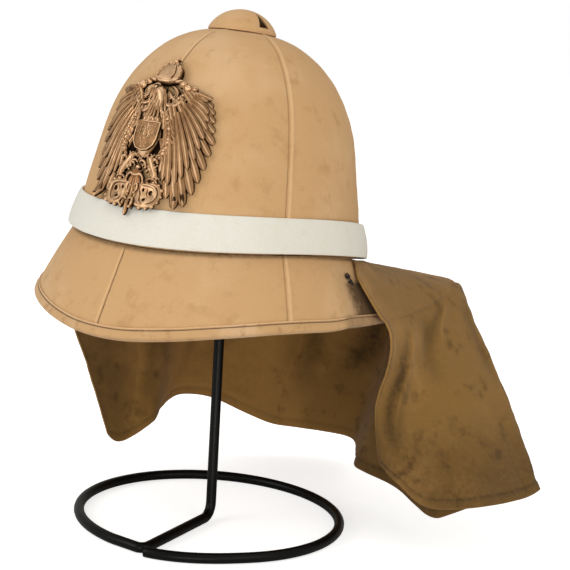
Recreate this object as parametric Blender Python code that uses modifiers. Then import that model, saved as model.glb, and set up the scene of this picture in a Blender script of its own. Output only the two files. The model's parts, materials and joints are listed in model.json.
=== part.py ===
"""Pith helmet with a white band, a spread-eagle badge and a neck flap, held up by a plain wire stand.

Metres, +Z up. The origin is the centre of the stand's ring on the floor, and the helmet faces -Y.
"""
import math

import bmesh
import bpy
from mathutils import Euler, Matrix, Vector

# Wire stand
WIRE = 0.008
RING_RADIUS = 0.104
RING_START = math.radians(-82)
RING_START_OUT = 0.0015
RING_OPENING = 0.0068
POST_BASE = (0.0037, -0.0045)
BEND_RADIUS = 0.011
HEAD_RADIUS, HEAD_THICK = 0.026, 0.012
HEAD_PLACE = (-0.0024, -0.0071, 0.1469)

# How the helmet sits on the stand: the crown's axis, the height of the band's lower edge, and its lean
SEAT = (-0.013, -0.001, 0.2205)
NOSE_UP = math.radians(-6.0)
LEAN = math.radians(0.6)

# Crown and brim, measured on the outside of the cloth
CROWN_FRONT, CROWN_REAR, CROWN_SIDE = 0.110, 0.123, 0.107
CROWN_HEIGHT = 0.1662
CROWN_POWER, CROWN_ROUND = 2.08, 2.59
BAND_DIP = 0.0055
RIM_FRONT, RIM_REAR, RIM_SIDE = 0.135, 0.232, 0.132
REAR_POWER = 2.8
RIM_SWELL = 0.12
RIM_DROP = ((0, 0.0711), (20, 0.0658), (30, 0.0607), (45, 0.0542), (65, 0.0465), (90, 0.044), (120, 0.024),
            (150, 0.014), (180, 0.014))
BRIM_BULGE = 0.0010
CROWN_SLIM, CROWN_SLIM_TOP = 0.026, 0.76
FOLD_OUT, FOLD_UP = 0.0012, 0.0014

# Thicknesses and gaps
CLOTH = 0.0010
CORK = 0.0052
BAND_THICK = 0.0020
GAP = 0.0003
UNDER_CLOTH = 0.0009
HEM = 0.0075

# Hat band and vent cap
BAND_LOW, BAND_HIGH, BAND_FLARE, BAND_LOOSE = 0.0025, 0.0285, 0.0045, 0.0018
CAP_RADIUS, CAP_HEIGHT, CAP_WALL = 0.0265, 0.0163, 0.0014
CAP_Y = -0.003
CAP_EDGE = math.radians(22)
CAP_SLOT_ANGLE, CAP_SLOT_WIDTH, CAP_SLOT_HEIGHT, CAP_SLOT_UP = math.radians(76), 0.010, 0.012, 0.0028

# Neck flap. Each row is one line of the cloth: its angle at the band and at the rim in degrees, how far it
# stands off the rim, the hem's x, y and height, and how far the line bows outward, in millimetres. Its two
# front edges also sway outward and back in an S.
FLAP_THICK = 0.0015
FLAP_LIFT = 0.0022
FLAP_RISE, FLAP_RISE_AT, FLAP_RISE_WIDTH = 0.0056, 133, 16
FLAP_SWAY_LEFT, FLAP_SWAY_RIGHT, FLAP_SWAY_WIDTH = 0.009, 0.0035, 0.14
FLAP_HEM = (
    (104, 93.8, 7, 126, 44, 64, -4), (107, 99.5, 8, 145, 41, 52, -3), (111, 106, 9, 168, 46, 37, 2),
    (114, 112, 13, 197, 72, 37.5, 6), (118, 117, 18, 216, 121, 38.5, 5), (123, 122, 19, 219.5, 142, 43, 5),
    (127, 126, 17, 196, 136, 35, 0), (131, 130, 11, 166, 99, 19, 0), (136, 135, 8, 146, 96, 13, 0),
    (141, 141, 7, 101, 122, 21, 0), (147, 147, 7, 62, 138, 22, 0), (153, 153, 7, 44, 150, 22, 0),
    (160, 160, 7, 28, 180, 21, 0), (169, 169, 7, -4, 228, 22, 4), (178, 178, 7, -45, 212, 25, 4),
    (188, 188, 7, -69, 193, 28, 4), (199, 199, 7, -90, 176, 38, 4), (211, 211, 7, -108, 146, 54, 4),
    (222, 223, 7, -120, 114, 59, 4), (232, 236, 6, -116, 85, 54, 4), (241, 248, 5, -105, 56, 46, 3),
    (250, 261, 5, -114.5, 26.5, 32.5, 3), (258, 276, 5, -119.4, 14.4, 41.3, 2.5),
)
FLAP_COLUMNS = 40

# Hooks at the flap's two front corners
HOOK_ANGLE_LEFT, HOOK_ANGLE_RIGHT = 92.4, -90
HOOK_SIZE = (0.0045, 0.011, 0.0022)
HOOK_DOWN = 0.0195

# Badge, drawn flat in millimetres: x from the front seam and y up the crown from the band's lower edge
BADGE_LIFT = 0.0020
BADGE_OVER_BAND = 0.0036
BADGE_BAND_TOP = 38
BADGE_LEAN, BADGE_HANGS_FROM = 0.021, 138
FEATHERS = (
    ((25, 112), (41, 107.5), 6.5), ((25, 108), (44.5, 100), 7), ((24, 104), (47.5, 90.5), 7.5),
    ((23, 100), (50, 79.5), 8), ((22, 96), (49.8, 67.5), 8), ((20, 93), (47.6, 55.5), 8), ((18, 90), (45, 44.5), 8),
    ((16, 87), (41, 34), 8), ((14, 83), (35.5, 31), 8), ((11, 78), (26, 41), 8),
)
WING_WEB = ((10, 66), (24, 56), (38, 58), (43, 76), (42, 92), (36, 105), (28, 116), (18, 112), (10, 92))
WING_ARM = ((9, 96), (14, 108), (21, 117), (30, 116))
RIBBON = ((7, 120), (14, 124), (20, 122), (25, 118))
LEG = ((7, 68), (16, 58), (12, 47))
COLLAR = ((12, 96), (16, 86), (20, 74), (12, 61))

# Seams between the six panels, in degrees from the front
SEAMS = (0, 62, 121, 180, 239, 298, 360)
COLUMNS_PER_PANEL = 6

COLOURS = {
    "khaki": ((0.63, 0.39, 0.19), 0.85, 0.0),
    "flap": ((0.27, 0.155, 0.065), 0.9, 0.0),
    "white": ((0.80, 0.77, 0.68), 0.8, 0.0),
    "cork": ((0.45, 0.30, 0.16), 0.95, 0.0),
    "brass": ((0.62, 0.36, 0.18), 0.35, 1.0),
    "black": ((0.012, 0.012, 0.012), 0.4, 0.0),
}


def clear_scene():
    for obj in list(bpy.data.objects):
        bpy.data.objects.remove(obj, do_unlink=True)


def new_collection(name):
    collection = bpy.data.collections.new(name)
    bpy.context.scene.collection.children.link(collection)
    return collection


def link_cutter(obj):
    bpy.data.collections["cutters"].objects.link(obj)
    obj.hide_render = True
    obj.display_type = "WIRE"
    return obj


def material(name, colour):
    rgb, roughness, metallic = COLOURS[colour]
    mat = bpy.data.materials.new(name)
    mat.use_nodes = True
    shader = mat.node_tree.nodes["Principled BSDF"]
    shader.inputs["Base Color"].default_value = (*rgb, 1.0)
    shader.inputs["Roughness"].default_value = roughness
    shader.inputs["Metallic"].default_value = metallic
    mat.diffuse_color = (*rgb, 1.0)
    return mat


def add_object(name, mesh, colour, parent=None):
    obj = bpy.data.objects.new(name, mesh)
    bpy.data.collections["pith_helmet"].objects.link(obj)
    mesh.materials.clear()
    mesh.materials.append(material(name, colour))
    obj.parent = parent
    return obj


def smooth_step(u):
    u = min(max(u, 0.0), 1.0)
    return u * u * (3 - 2 * u)


def read_table(table, x):
    """A straight reading between the rows of a short table."""
    for (x0, y0), (x1, y1) in zip(table, table[1:]):
        if x <= x1:
            return y0 + (y1 - y0) * (x - x0) / (x1 - x0)
    return table[-1][1]


def plan(t, front, rear, side, rear_power=2.0):
    """A point of an oval outline: a half ellipse in front, and a fuller half oval behind."""
    c, s = math.cos(t), math.sin(t)
    if c >= 0:
        return side * s, -front * c
    k = 2.0 / rear_power
    return side * math.copysign(abs(s) ** k, s), rear * abs(c) ** k


def fold_angle(t):
    """Degrees from the front, 0 to 180, the same on both sides."""
    d = math.degrees(t) % 360
    return min(d, 360 - d)


def behind(t):
    """0 over the front half of the helmet and 1 over the rear, with a smooth change at the sides."""
    return smooth_step((fold_angle(t) - 65) / 40)


def rim_drop(t):
    a = fold_angle(t)
    return sum(read_table(RIM_DROP, min(max(a + d, -a - d), 360 - a - d)) for d in range(-12, 13, 2)) / 13


def crown_point(t, v):
    """The crown's outside: v is 0 at the brim and 1 at the top."""
    w = math.sin(v * math.pi / 2)
    g = max(1 - w ** CROWN_POWER, 0.0) ** (1 / CROWN_ROUND)
    g *= 1 - CROWN_SLIM * math.sin(math.pi * min(w / CROWN_SLIM_TOP, 1)) ** 2
    x, y = plan(t, CROWN_FRONT, CROWN_REAR, CROWN_SIDE)
    low = -BAND_DIP * math.cos(2 * t)
    return Vector((x * g, y * g, low * (1 - w) + CROWN_HEIGHT * w))


def brim_point(t, s):
    """The brim's outside: s is 0 at the crown and 1 at the rim."""
    a = crown_point(t, 0.0)
    x, y = plan(t, RIM_FRONT, RIM_REAR, RIM_SIDE, REAR_POWER)
    if y > 0:
        x *= 1 + RIM_SWELL * math.sin(2 * t) ** 2
    b = Vector((x, y, -rim_drop(t)))
    out = Vector((x, y, 0)).normalized()
    a += (out * FOLD_OUT + Vector((0, 0, FOLD_UP))) * (1 - behind(t))
    p = a.lerp(b, s)
    return p + (out * 0.6 + Vector((0, 0, 0.8))) * (BRIM_BULGE * 4 * s * (1 - s))


def offset_point(surface, t, u, off):
    """The surface's point moved along its outward normal."""
    e = 0.002
    low, high = max(u - e, 0.0), min(u + e, 1.0 - 1e-4)
    du = surface(t, high) - surface(t, low)
    dt = surface(t + e, min(u, 0.999)) - surface(t - e, min(u, 0.999))
    normal = dt.cross(du)
    if surface is brim_point:
        normal = -normal
    return surface(t, u) + normal.normalized() * off


def brim_length(t):
    return (brim_point(t, 1) - brim_point(t, 0)).length


def brim_stations(t):
    """Where the rows across the brim lie, the last at the hem's upper edge."""
    last = 1 - (HEM + GAP) / brim_length(t)
    return [s * last for s in BRIM_ROWS]


def columns():
    angles = []
    for a, b in zip(SEAMS, SEAMS[1:]):
        angles += [math.radians(a + (b - a) * i / COLUMNS_PER_PANEL) for i in range(COLUMNS_PER_PANEL)]
    return angles


def grid_mesh(name, rows, closed):
    """A mesh over rows of points; closed joins each row's last point to its first."""
    mesh = bpy.data.meshes.new(name)
    n = len(rows[0])
    verts = [p for row in rows for p in row]
    last = n if closed else n - 1
    faces = [(i * n + j, i * n + (j + 1) % n, (i + 1) * n + (j + 1) % n, (i + 1) * n + j)
             for i in range(len(rows) - 1) for j in range(last)]
    mesh.from_pydata(verts, [], faces)
    mesh.validate()
    return mesh


def thicken(obj, thickness, side=-1):
    mod = obj.modifiers.new("Thickness", "SOLIDIFY")
    mod.thickness = thickness
    mod.offset = side
    mod.use_even_offset = True
    mod.use_quality_normals = True
    return mod


def orient_outward(mesh, centre):
    """Turns an open sheet's faces away from a point inside."""
    bm = bmesh.new()
    bm.from_mesh(mesh)
    total = sum((f.calc_center_median() - centre).dot(f.normal) * f.calc_area() for f in bm.faces)
    if total < 0:
        bmesh.ops.reverse_faces(bm, faces=bm.faces)
    bm.to_mesh(mesh)
    bm.free()


CENTRE = Vector((0, 0, 0.03))
CROWN_ROWS = [0.925, 0.84, 0.72, 0.58, 0.43, 0.28, 0.14, 0.0]
BRIM_ROWS = [0.33, 0.67, 1.0]


def shell_rows(off):
    """The crown's rows down to its foot, and the brim's rows from its top edge out, at one depth in the cork."""
    angles = columns()
    half_gap = Vector((0, 0, GAP))
    crown = [[offset_point(crown_point, t, v, off) for t in angles] for v in CROWN_ROWS[:-1]]
    foot = [offset_point(crown_point, t, 0.0, off) for t in angles]
    brim = [[p.lerp(offset_point(brim_point, t, 0.0, off), 0.5) - half_gap for p, t in zip(foot, angles)]]
    brim += [[offset_point(brim_point, t, brim_stations(t)[i], off) for t in angles] for i in range(len(BRIM_ROWS))]
    brim.append([offset_point(brim_point, t, 1 - 0.0015 / brim_length(t), off) for t in angles])
    return crown + [[p + half_gap for p in foot]], brim


def cork_shells(seat):
    """The stiff body, made as a crown and a brim that meet in the fold under the band."""
    outer_crown, outer_brim = shell_rows(-(CLOTH + UNDER_CLOTH))
    inner_crown, inner_brim = shell_rows(-(CLOTH + UNDER_CLOTH + CORK))
    closed_shell("cork_crown", outer_crown + inner_crown[::-1], seat)
    closed_shell("cork_brim", outer_brim + inner_brim[::-1], seat)


def closed_shell(name, rows, seat):
    """A ring of material whose section runs through all the rows and back to the first."""
    mesh = grid_mesh(name, rows + rows[:1], True)
    bm = bmesh.new()
    bm.from_mesh(mesh)
    bmesh.ops.remove_doubles(bm, verts=bm.verts, dist=0.000001)
    bmesh.ops.recalc_face_normals(bm, faces=bm.faces)
    bm.to_mesh(mesh)
    bm.free()
    return add_object(name, mesh, "cork", seat)


def panel_angles(k, inset):
    a, b = math.radians(SEAMS[k]), math.radians(SEAMS[k + 1])
    n = COLUMNS_PER_PANEL
    return [a + inset] + [a + (b - a) * i / n for i in range(1, n)] + [b - inset]


def crown_panel(k, seat):
    rows = []
    for v in CROWN_ROWS[:-1] + [0.006]:
        r = max(crown_point(math.radians(90), v).x, 0.01)
        rows.append([offset_point(crown_point, t, v, 0) for t in panel_angles(k, GAP / r)])
    mesh = grid_mesh(f"crown_panel_{k + 1}", rows, False)
    orient_outward(mesh, CENTRE)
    obj = add_object(f"crown_panel_{k + 1}", mesh, "khaki", seat)
    thicken(obj, CLOTH)
    return obj


def brim_panel(k, seat):
    angles = panel_angles(k, GAP / 0.12)
    rows = [[offset_point(brim_point, t, 0.0005 / brim_length(t), 0) for t in angles]]
    rows += [[offset_point(brim_point, t, brim_stations(t)[i], 0) for t in angles] for i in range(len(BRIM_ROWS))]
    mesh = grid_mesh(f"brim_panel_{k + 1}", rows, False)
    orient_outward(mesh, Vector((0, 0, -0.1)))
    obj = add_object(f"brim_panel_{k + 1}", mesh, "khaki", seat)
    thicken(obj, CLOTH)
    return obj


def rim_binding(seat):
    under = -(2 * CLOTH + UNDER_CLOTH + GAP + CORK)
    section = ((HEM, 0), (0.0016, 0), (0.0004, -0.0009), (0, under / 2), (0.0004, under + 0.0009), (0.0016, under),
               (HEM, under))
    angles = columns()
    rows = [[offset_point(brim_point, t, 1 - d / brim_length(t), o) for t in angles] for d, o in section]
    mesh = grid_mesh("rim_binding", rows, True)
    obj = add_object("rim_binding", mesh, "khaki", seat)
    thicken(obj, CLOTH)
    return obj


def hat_band(seat):
    angles = columns()
    rows = []
    for z, stand_off in ((BAND_HIGH, 0), ((BAND_HIGH + BAND_LOW) / 2, BAND_FLARE * 0.6), (BAND_LOW, BAND_FLARE)):
        v = math.asin(z / CROWN_HEIGHT) * 2 / math.pi
        rows.append([offset_point(crown_point, t, v, GAP + BAND_THICK + stand_off + BAND_LOOSE * behind(t))
                     for t in angles])
    mesh = grid_mesh("hat_band", rows, True)
    orient_outward(mesh, CENTRE)
    obj = add_object("hat_band", mesh, "white", seat)
    thicken(obj, BAND_THICK)
    return obj


def vent_cap(seat):
    """A hollow dome over the crown's top, with its lower edge on the cloth and two pointed openings."""
    n = 24
    rows = [[cap_point(2 * math.pi * j / n, CAP_RADIUS, -0.08) for j in range(n)]]
    for k in range(6):
        a = CAP_EDGE + (math.pi / 2 - CAP_EDGE) * k / 6
        radius = CAP_RADIUS * math.cos(a) / math.cos(CAP_EDGE)
        rise = (math.sin(a) - math.sin(CAP_EDGE)) / (1 - math.sin(CAP_EDGE))
        rows.append([cap_point(2 * math.pi * j / n, radius, rise) for j in range(n)])
    mesh = grid_mesh("vent_cap", rows[::-1], True)
    bm = bmesh.new()
    bm.from_mesh(mesh)
    top = bm.verts.new(cap_point(0, 0, 1))
    bm.verts.ensure_lookup_table()
    ring = list(bm.verts)[:n]
    for j in range(n):
        bm.faces.new((ring[j], ring[(j + 1) % n], top))
    bmesh.ops.recalc_face_normals(bm, faces=bm.faces)
    bm.to_mesh(mesh)
    bm.free()
    orient_outward(mesh, Vector((0, CAP_Y, CROWN_HEIGHT - 0.02)))
    obj = add_object("vent_cap", mesh, "khaki", seat)
    thicken(obj, CAP_WALL)
    for side in (-1, 1):
        cut(obj, slot_cutter(side, seat))
    return obj


def cap_point(t, radius, rise):
    """A point of the cap's dome, which stands on the crown's cloth."""
    x, y = radius * math.sin(t), CAP_Y - radius * math.cos(t)
    inner = CAP_RADIUS - CAP_WALL
    top = CROWN_HEIGHT + CAP_HEIGHT
    base = crown_height_at(inner * math.sin(t), CAP_Y - inner * math.cos(t)) + GAP
    foot = base + 0.08 * (top - base)
    return Vector((x, y, foot + (top - foot) * rise))


def crown_height_at(x, y):
    """The crown's height over a place near its top."""
    g = math.hypot(x / CROWN_SIDE, y / (CROWN_FRONT if y < 0 else CROWN_REAR))
    return CROWN_HEIGHT * (1 - g ** CROWN_ROUND) ** (1 / CROWN_POWER)


def slot_cutter(side, seat):
    """A three-sided bar that runs outward through the cap's wall, point up."""
    bm = bmesh.new()
    bmesh.ops.create_cone(bm, cap_ends=True, segments=3, radius1=1, radius2=1, depth=0.028)
    turn = Matrix.Rotation(math.radians(90), 4, "X")
    bmesh.ops.transform(bm, matrix=turn, verts=bm.verts)
    low = min(v.co.z for v in bm.verts)
    high = max(v.co.z for v in bm.verts)
    wide = max(v.co.x for v in bm.verts)
    for v in bm.verts:
        rise = (v.co.z - low) / (high - low)
        v.co.x *= CAP_SLOT_WIDTH / 2 / wide
        v.co.z = CROWN_HEIGHT + CAP_SLOT_UP + CAP_SLOT_HEIGHT * rise
        v.co.y -= CAP_RADIUS
    mesh = bpy.data.meshes.new("slot_cutter")
    bm.to_mesh(mesh)
    bm.free()
    obj = link_cutter(bpy.data.objects.new(f"slot_cutter_{'left' if side > 0 else 'right'}", mesh))
    obj.parent = seat
    obj.location = (0, CAP_Y, 0)
    obj.rotation_euler = (0, 0, side * CAP_SLOT_ANGLE)
    return obj


def cut(obj, cutter):
    mod = obj.modifiers.new("Cut", "BOOLEAN")
    mod.operation = "DIFFERENCE"
    mod.solver = "EXACT"
    mod.object = cutter


def smooth_table(rows, u):
    """Reads a table of rows at u from 0 to 1 along it, as a smooth curve through all of its rows."""
    x = min(max(u, 0.0), 1.0) * (len(rows) - 1)
    i = min(int(x), len(rows) - 2)
    f = x - i
    p = [rows[min(max(i + d, 0), len(rows) - 1)] for d in (-1, 0, 1, 2)]
    out = []
    for a, b, c, d in zip(*p):
        out.append(b + 0.5 * f * (c - a + f * (2 * a - 5 * b + 4 * c - d + f * (3 * (b - c) + d - a))))
    return out


def flap_column(u, place):
    """One line of the flap from the band over the brim and down to the hem."""
    t_band, t_rim, stand_off, x, y, z, bow = smooth_table(FLAP_HEM, u)
    rise = FLAP_RISE * math.exp(-((t_rim - FLAP_RISE_AT) / FLAP_RISE_WIDTH) ** 2)
    t_band, t_rim = math.radians(t_band), math.radians(t_rim)
    points = []
    for s in (0.05, 0.36, 0.68, 0.96):
        t = t_band + (t_rim - t_band) * (s if t_rim > t_band else smooth_step(s / 0.42))
        lift = FLAP_LIFT * (0.6 + 0.4 * smooth_step(s / 0.3)) + (stand_off / 2200 + rise) * s ** 2
        lift += 0.005 * abs(t_band - t_rim)
        points.append(place @ offset_point(brim_point, t, s, lift))
    edge = place @ brim_point(t_rim, 1.0)
    level = edge - place @ brim_point(t_rim, 0.9)
    level = Vector((level.x, level.y, 0)).normalized()
    start = edge + level * stand_off / 1000 + Vector((0, 0, stand_off / 2200 + rise * 1.2 - 0.002))
    hem = Vector((x, y, z)) / 1000
    points.append(start)
    sway = FLAP_SWAY_LEFT * (1 - smooth_step(u / FLAP_SWAY_WIDTH))
    sway += FLAP_SWAY_RIGHT * (1 - smooth_step((1 - u) / FLAP_SWAY_WIDTH))
    for f in (0.12, 0.34, 0.56, 0.78, 1.0):
        out = bow / 1000 * math.sin(math.pi * f) + sway * math.sin(2 * math.pi * f) * (1 - f)
        points.append(start.lerp(hem, f) + level * out)
    return points


def neck_flap(seat):
    """A cloth that is fixed under the band, lies over the rear brim and hangs down round the back."""
    place = seat_matrix()
    cols = [flap_column(i / FLAP_COLUMNS, place) for i in range(FLAP_COLUMNS + 1)]
    rows = [list(row) for row in zip(*cols)]
    mesh = grid_mesh("neck_flap", rows, False)
    orient_outward(mesh, Vector((-0.013, 0.05, 0.05)))
    obj = add_object("neck_flap", mesh, "flap")
    mod = thicken(obj, FLAP_THICK, 0)
    mod.use_even_offset = False
    return obj


def seat_matrix():
    return Matrix.Translation(SEAT) @ Euler((NOSE_UP, LEAN, 0)).to_matrix().to_4x4()


def stand_route():
    """The wire's centre line: down the post, along the floor to the ring, and once round."""
    low = WIRE / 2 * math.cos(math.radians(22.5)) + 0.00007
    base = Vector((*POST_BASE, low))
    top = seat_matrix() @ Vector(HEAD_PLACE) - Vector((0, 0, 0.0009))
    first = Vector((math.cos(RING_START), math.sin(RING_START), 0)) * ring_radius(0)
    first.z = low
    up, out = (top - base).normalized(), (first - base).normalized()
    turn = Vector((math.sin(RING_START), -math.cos(RING_START), 0))
    points = [top] + bend(base, up, out, BEND_RADIUS, 5) + bend(first, -out, turn, 0.006, 3)
    n = 60
    for i in range(3, n + 1):
        f = i / n
        a = RING_START - f * (2 * math.pi - math.radians(2))
        r = ring_radius(f)
        points.append(Vector((r * math.cos(a), r * math.sin(a), low)))
    return points


def ring_radius(f):
    """The ring's centre line opens a little, so that its cut end lies outside its start."""
    return RING_RADIUS + RING_START_OUT * math.exp(-f * 12) + RING_OPENING * smooth_step((f - 0.88) / 0.12)


def bend(corner, back, ahead, radius, steps):
    """Points of a rounded corner between the directions back and ahead from it."""
    half = back.angle(ahead) / 2
    reach = radius / math.tan(half)
    centre = corner + (back + ahead).normalized() * (radius / math.sin(half))
    a, b = corner + back * reach - centre, corner + ahead * reach - centre
    return [centre + rotate_between(a, b, i / steps) for i in range(steps + 1)]


def rotate_between(a, b, f):
    angle = a.angle(b)
    return (a * math.sin((1 - f) * angle) + b * math.sin(f * angle)) / math.sin(angle)


def stand_wire():
    points = stand_route()
    curve = bpy.data.curves.new("stand_wire", "CURVE")
    curve.dimensions = "3D"
    curve.bevel_depth = WIRE / 2
    curve.bevel_resolution = 2
    curve.use_fill_caps = True
    spline = curve.splines.new("POLY")
    spline.points.add(len(points) - 1)
    for point, place in zip(spline.points, points):
        point.co = (*place, 1.0)
        point.tilt = math.radians(22.5)
    obj = bpy.data.objects.new("stand_wire", curve)
    bpy.data.collections["pith_helmet"].objects.link(obj)
    curve.materials.append(material("stand_wire", "black"))
    return obj


def stand_head(seat):
    """The plain rest on top of the post, which the crown sits on."""
    bm = bmesh.new()
    bmesh.ops.create_uvsphere(bm, u_segments=20, v_segments=10, radius=HEAD_RADIUS)
    for v in bm.verts:
        v.co.z = max(v.co.z, 0.0) * HEAD_THICK / HEAD_RADIUS
    bmesh.ops.remove_doubles(bm, verts=bm.verts, dist=0.00001)
    bmesh.ops.dissolve_degenerate(bm, dist=0.00001, edges=bm.edges)
    mesh = bpy.data.meshes.new("stand_head")
    bm.to_mesh(mesh)
    bm.free()
    obj = add_object("stand_head", mesh, "black", seat)
    obj.location = (HEAD_PLACE[0], HEAD_PLACE[1], HEAD_PLACE[2])
    return obj


def badge_frame():
    """Reads the crown's front as a flat sheet: the heights of rows along the front seam."""
    steps = 60
    vs = [0.93 * i / steps for i in range(steps + 1)]
    arc = [0.0]
    for a, b in zip(vs, vs[1:]):
        arc.append(arc[-1] + (crown_point(0, b) - crown_point(0, a)).length)
    return arc, vs


def badge_place(frame, x, y, z):
    """Lays a point of the flat badge, in millimetres, on the crown, x round it and y up the front seam."""
    arc, vs = frame
    v = vs[-1]
    for i in range(len(arc) - 1):
        if arc[i + 1] >= y / 1000:
            v = vs[i] + (vs[i + 1] - vs[i]) * (y / 1000 - arc[i]) / (arc[i + 1] - arc[i])
            break
    around = (crown_point(0.01, v) - crown_point(0, v)).length / 0.01
    lift = BADGE_LIFT + BADGE_OVER_BAND * smooth_step((BADGE_BAND_TOP - y) / 8)
    x += BADGE_LEAN * (y - BADGE_HANGS_FROM)
    return offset_point(crown_point, x / 1000 / around, v, lift + z / 1000)


def slab(bm, outline, low, high, inset):
    """A flat piece with sloping sides: the top outline is drawn in by inset."""
    cx = sum(p[0] for p in outline) / len(outline)
    cy = sum(p[1] for p in outline) / len(outline)
    bottom = [bm.verts.new((x, y, low)) for x, y in outline]
    top = []
    for x, y in outline:
        d = math.hypot(x - cx, y - cy)
        f = max(1 - inset / d, 0.2)
        top.append(bm.verts.new((cx + (x - cx) * f, cy + (y - cy) * f, high)))
    bm.faces.new(bottom[::-1])
    bm.faces.new(top)
    n = len(outline)
    for i in range(n):
        j = (i + 1) % n
        bm.faces.new((bottom[i], bottom[j], top[j], top[i]))


def rib(bm, path, widths, low, heights):
    """A roof-shaped bar along a path, with its own width and height at each point."""
    sections = []
    for i, (x, y) in enumerate(path):
        x0, y0 = path[max(i - 1, 0)]
        x1, y1 = path[min(i + 1, len(path) - 1)]
        d = math.hypot(x1 - x0, y1 - y0)
        nx, ny = -(y1 - y0) / d * widths[i] / 2, (x1 - x0) / d * widths[i] / 2
        sections.append([bm.verts.new(p) for p in
                         ((x + nx, y + ny, low), (x - nx, y - ny, low), (x, y, heights[i]))])
    bm.faces.new(sections[0])
    bm.faces.new(sections[-1][::-1])
    for a, b in zip(sections, sections[1:]):
        for i in range(3):
            j = (i + 1) % 3
            bm.faces.new((a[i], b[i], b[j], a[j]))


def disc(cx, cy, rx, ry, n=10, turn=0.0):
    return [(cx + rx * math.cos(2 * math.pi * i / n + turn), cy + ry * math.sin(2 * math.pi * i / n + turn))
            for i in range(n)]


def badge_shape():
    """The spread eagle drawn flat, in millimetres: every piece is a closed bar or slab, and they overlap."""
    bm = bmesh.new()
    floor = iter(-0.012 * i for i in range(80))
    for side in (-1, 1):
        for i, (root, tip, width) in enumerate(FEATHERS):
            near = ((root[0] * 0.2 + tip[0] * 0.8) * side, root[1] * 0.2 + tip[1] * 0.8)
            path = ((root[0] * side, root[1]), near, (tip[0] * side, tip[1]))
            rise = 3.0 + 0.35 * (i % 2)
            rib(bm, path, (width, width, 1.0), next(floor), (rise, rise * 0.9, 1.2))
        slab(bm, [(x * side, y) for x, y in WING_WEB][::side], next(floor), 1.6, 0.6)
        rib(bm, [(x * side, y) for x, y in WING_ARM], (10, 12, 11, 7), next(floor), (4.2, 4.8, 4.4, 3.0))
        rib(bm, [(x * side, y) for x, y in RIBBON], (5, 6, 5, 2.5), next(floor), (3.2, 3.6, 3.2, 2.0))
        rib(bm, [(x * side, y) for x, y in LEG], (9, 6, 3), next(floor), (4.4, 3.8, 2.2))
        slab(bm, disc(13.5 * side, 38, 9.5, 9.0, 9, 0.2), next(floor), 2.6, 2.0)
        rib(bm, [(x * side, y) for x, y in COLLAR], (4, 5, 5, 4), next(floor), (4.6, 5.0, 5.0, 4.8))
    slab(bm, disc(0, 86, 12.5, 32, 12), next(floor), 4.6, 3.0)
    slab(bm, [(-9, 90.5), (-9.4, 82), (-7.5, 73), (0, 68.5), (7.5, 73), (9.4, 82), (9, 90.5)], next(floor), 5.2, 0.8)
    rib(bm, ((3, 98), (4, 107), (1, 115), (-6, 116.5), (-13, 112)), (15, 12, 11, 9, 1.5), next(floor),
        (5.4, 5.8, 6.2, 5.4, 2.8))
    slab(bm, ((-8, 124), (8, 124), (9.5, 131.5), (5, 137.5), (-5, 137.5), (-9.5, 131.5)), next(floor), 4.6, 1.5)
    rib(bm, ((-9, 122.5), (0, 121.5), (9, 122.5)), (4.5, 4.5, 4.5), next(floor), (5.0, 5.4, 5.0))
    slab(bm, disc(0, 138.5, 2.4, 2.8, 8), next(floor), 3.6, 0.8)
    rib(bm, ((0, 112), (0, 125)), (12, 12), next(floor), (3.8, 4.2))
    for x, y, wide in ((0, 22, 7), (-6, 28, 6), (6, 28, 6)):
        rib(bm, ((x * 0.3, 52), (x, y + 5), (x, y)), (wide, wide, 1.5), next(floor), (3.6, 3.2, 1.6))
    bmesh.ops.recalc_face_normals(bm, faces=bm.faces)
    return bm


def eagle_badge(seat):
    """The cast badge: its bars are joined into one flat piece, which is then laid over the crown's front."""
    drawing = bpy.data.meshes.new("badge_drawing")
    bm = badge_shape()
    bm.to_mesh(drawing)
    bm.free()
    core = bmesh.new()
    bmesh.ops.create_cube(core, size=4)
    core_mesh = bpy.data.meshes.new("badge_core")
    bmesh.ops.translate(core, verts=core.verts, vec=(0, 86, 2))
    core.to_mesh(core_mesh)
    core.free()
    flat = bpy.data.objects.new("badge_flat", drawing)
    joiner = bpy.data.objects.new("badge_core", core_mesh)
    for obj in (flat, joiner):
        link_cutter(obj)
    join = flat.modifiers.new("Join", "BOOLEAN")
    join.operation, join.solver, join.object, join.use_self = "UNION", "EXACT", joiner, True
    holes = link_cutter(bpy.data.objects.new("badge_holes", hole_mesh()))
    pierce = flat.modifiers.new("Pierce", "BOOLEAN")
    pierce.operation, pierce.solver, pierce.object = "DIFFERENCE", "EXACT", holes
    bpy.context.view_layer.update()
    solid = bpy.data.meshes.new_from_object(flat.evaluated_get(bpy.context.evaluated_depsgraph_get()))
    for obj in (flat, joiner, holes):
        bpy.data.objects.remove(obj, do_unlink=True)
    bm = bmesh.new()
    bm.from_mesh(solid)
    for axis, lines in ((Vector((1, 0, 0)), (-30, -10, 10, 30)), (Vector((0, 1, 0)), (50, 80, 110))):
        for line in lines:
            geom = bm.verts[:] + bm.edges[:] + bm.faces[:]
            bmesh.ops.bisect_plane(bm, geom=geom, plane_co=axis * line, plane_no=axis, dist=0.01)
    bmesh.ops.remove_doubles(bm, verts=bm.verts, dist=0.002)
    bmesh.ops.triangulate(bm, faces=bm.faces)
    frame = badge_frame()
    for v in bm.verts:
        v.co = badge_place(frame, *v.co)
    bm.to_mesh(solid)
    bm.free()
    return add_object("eagle_badge", solid, "brass", seat)


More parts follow.
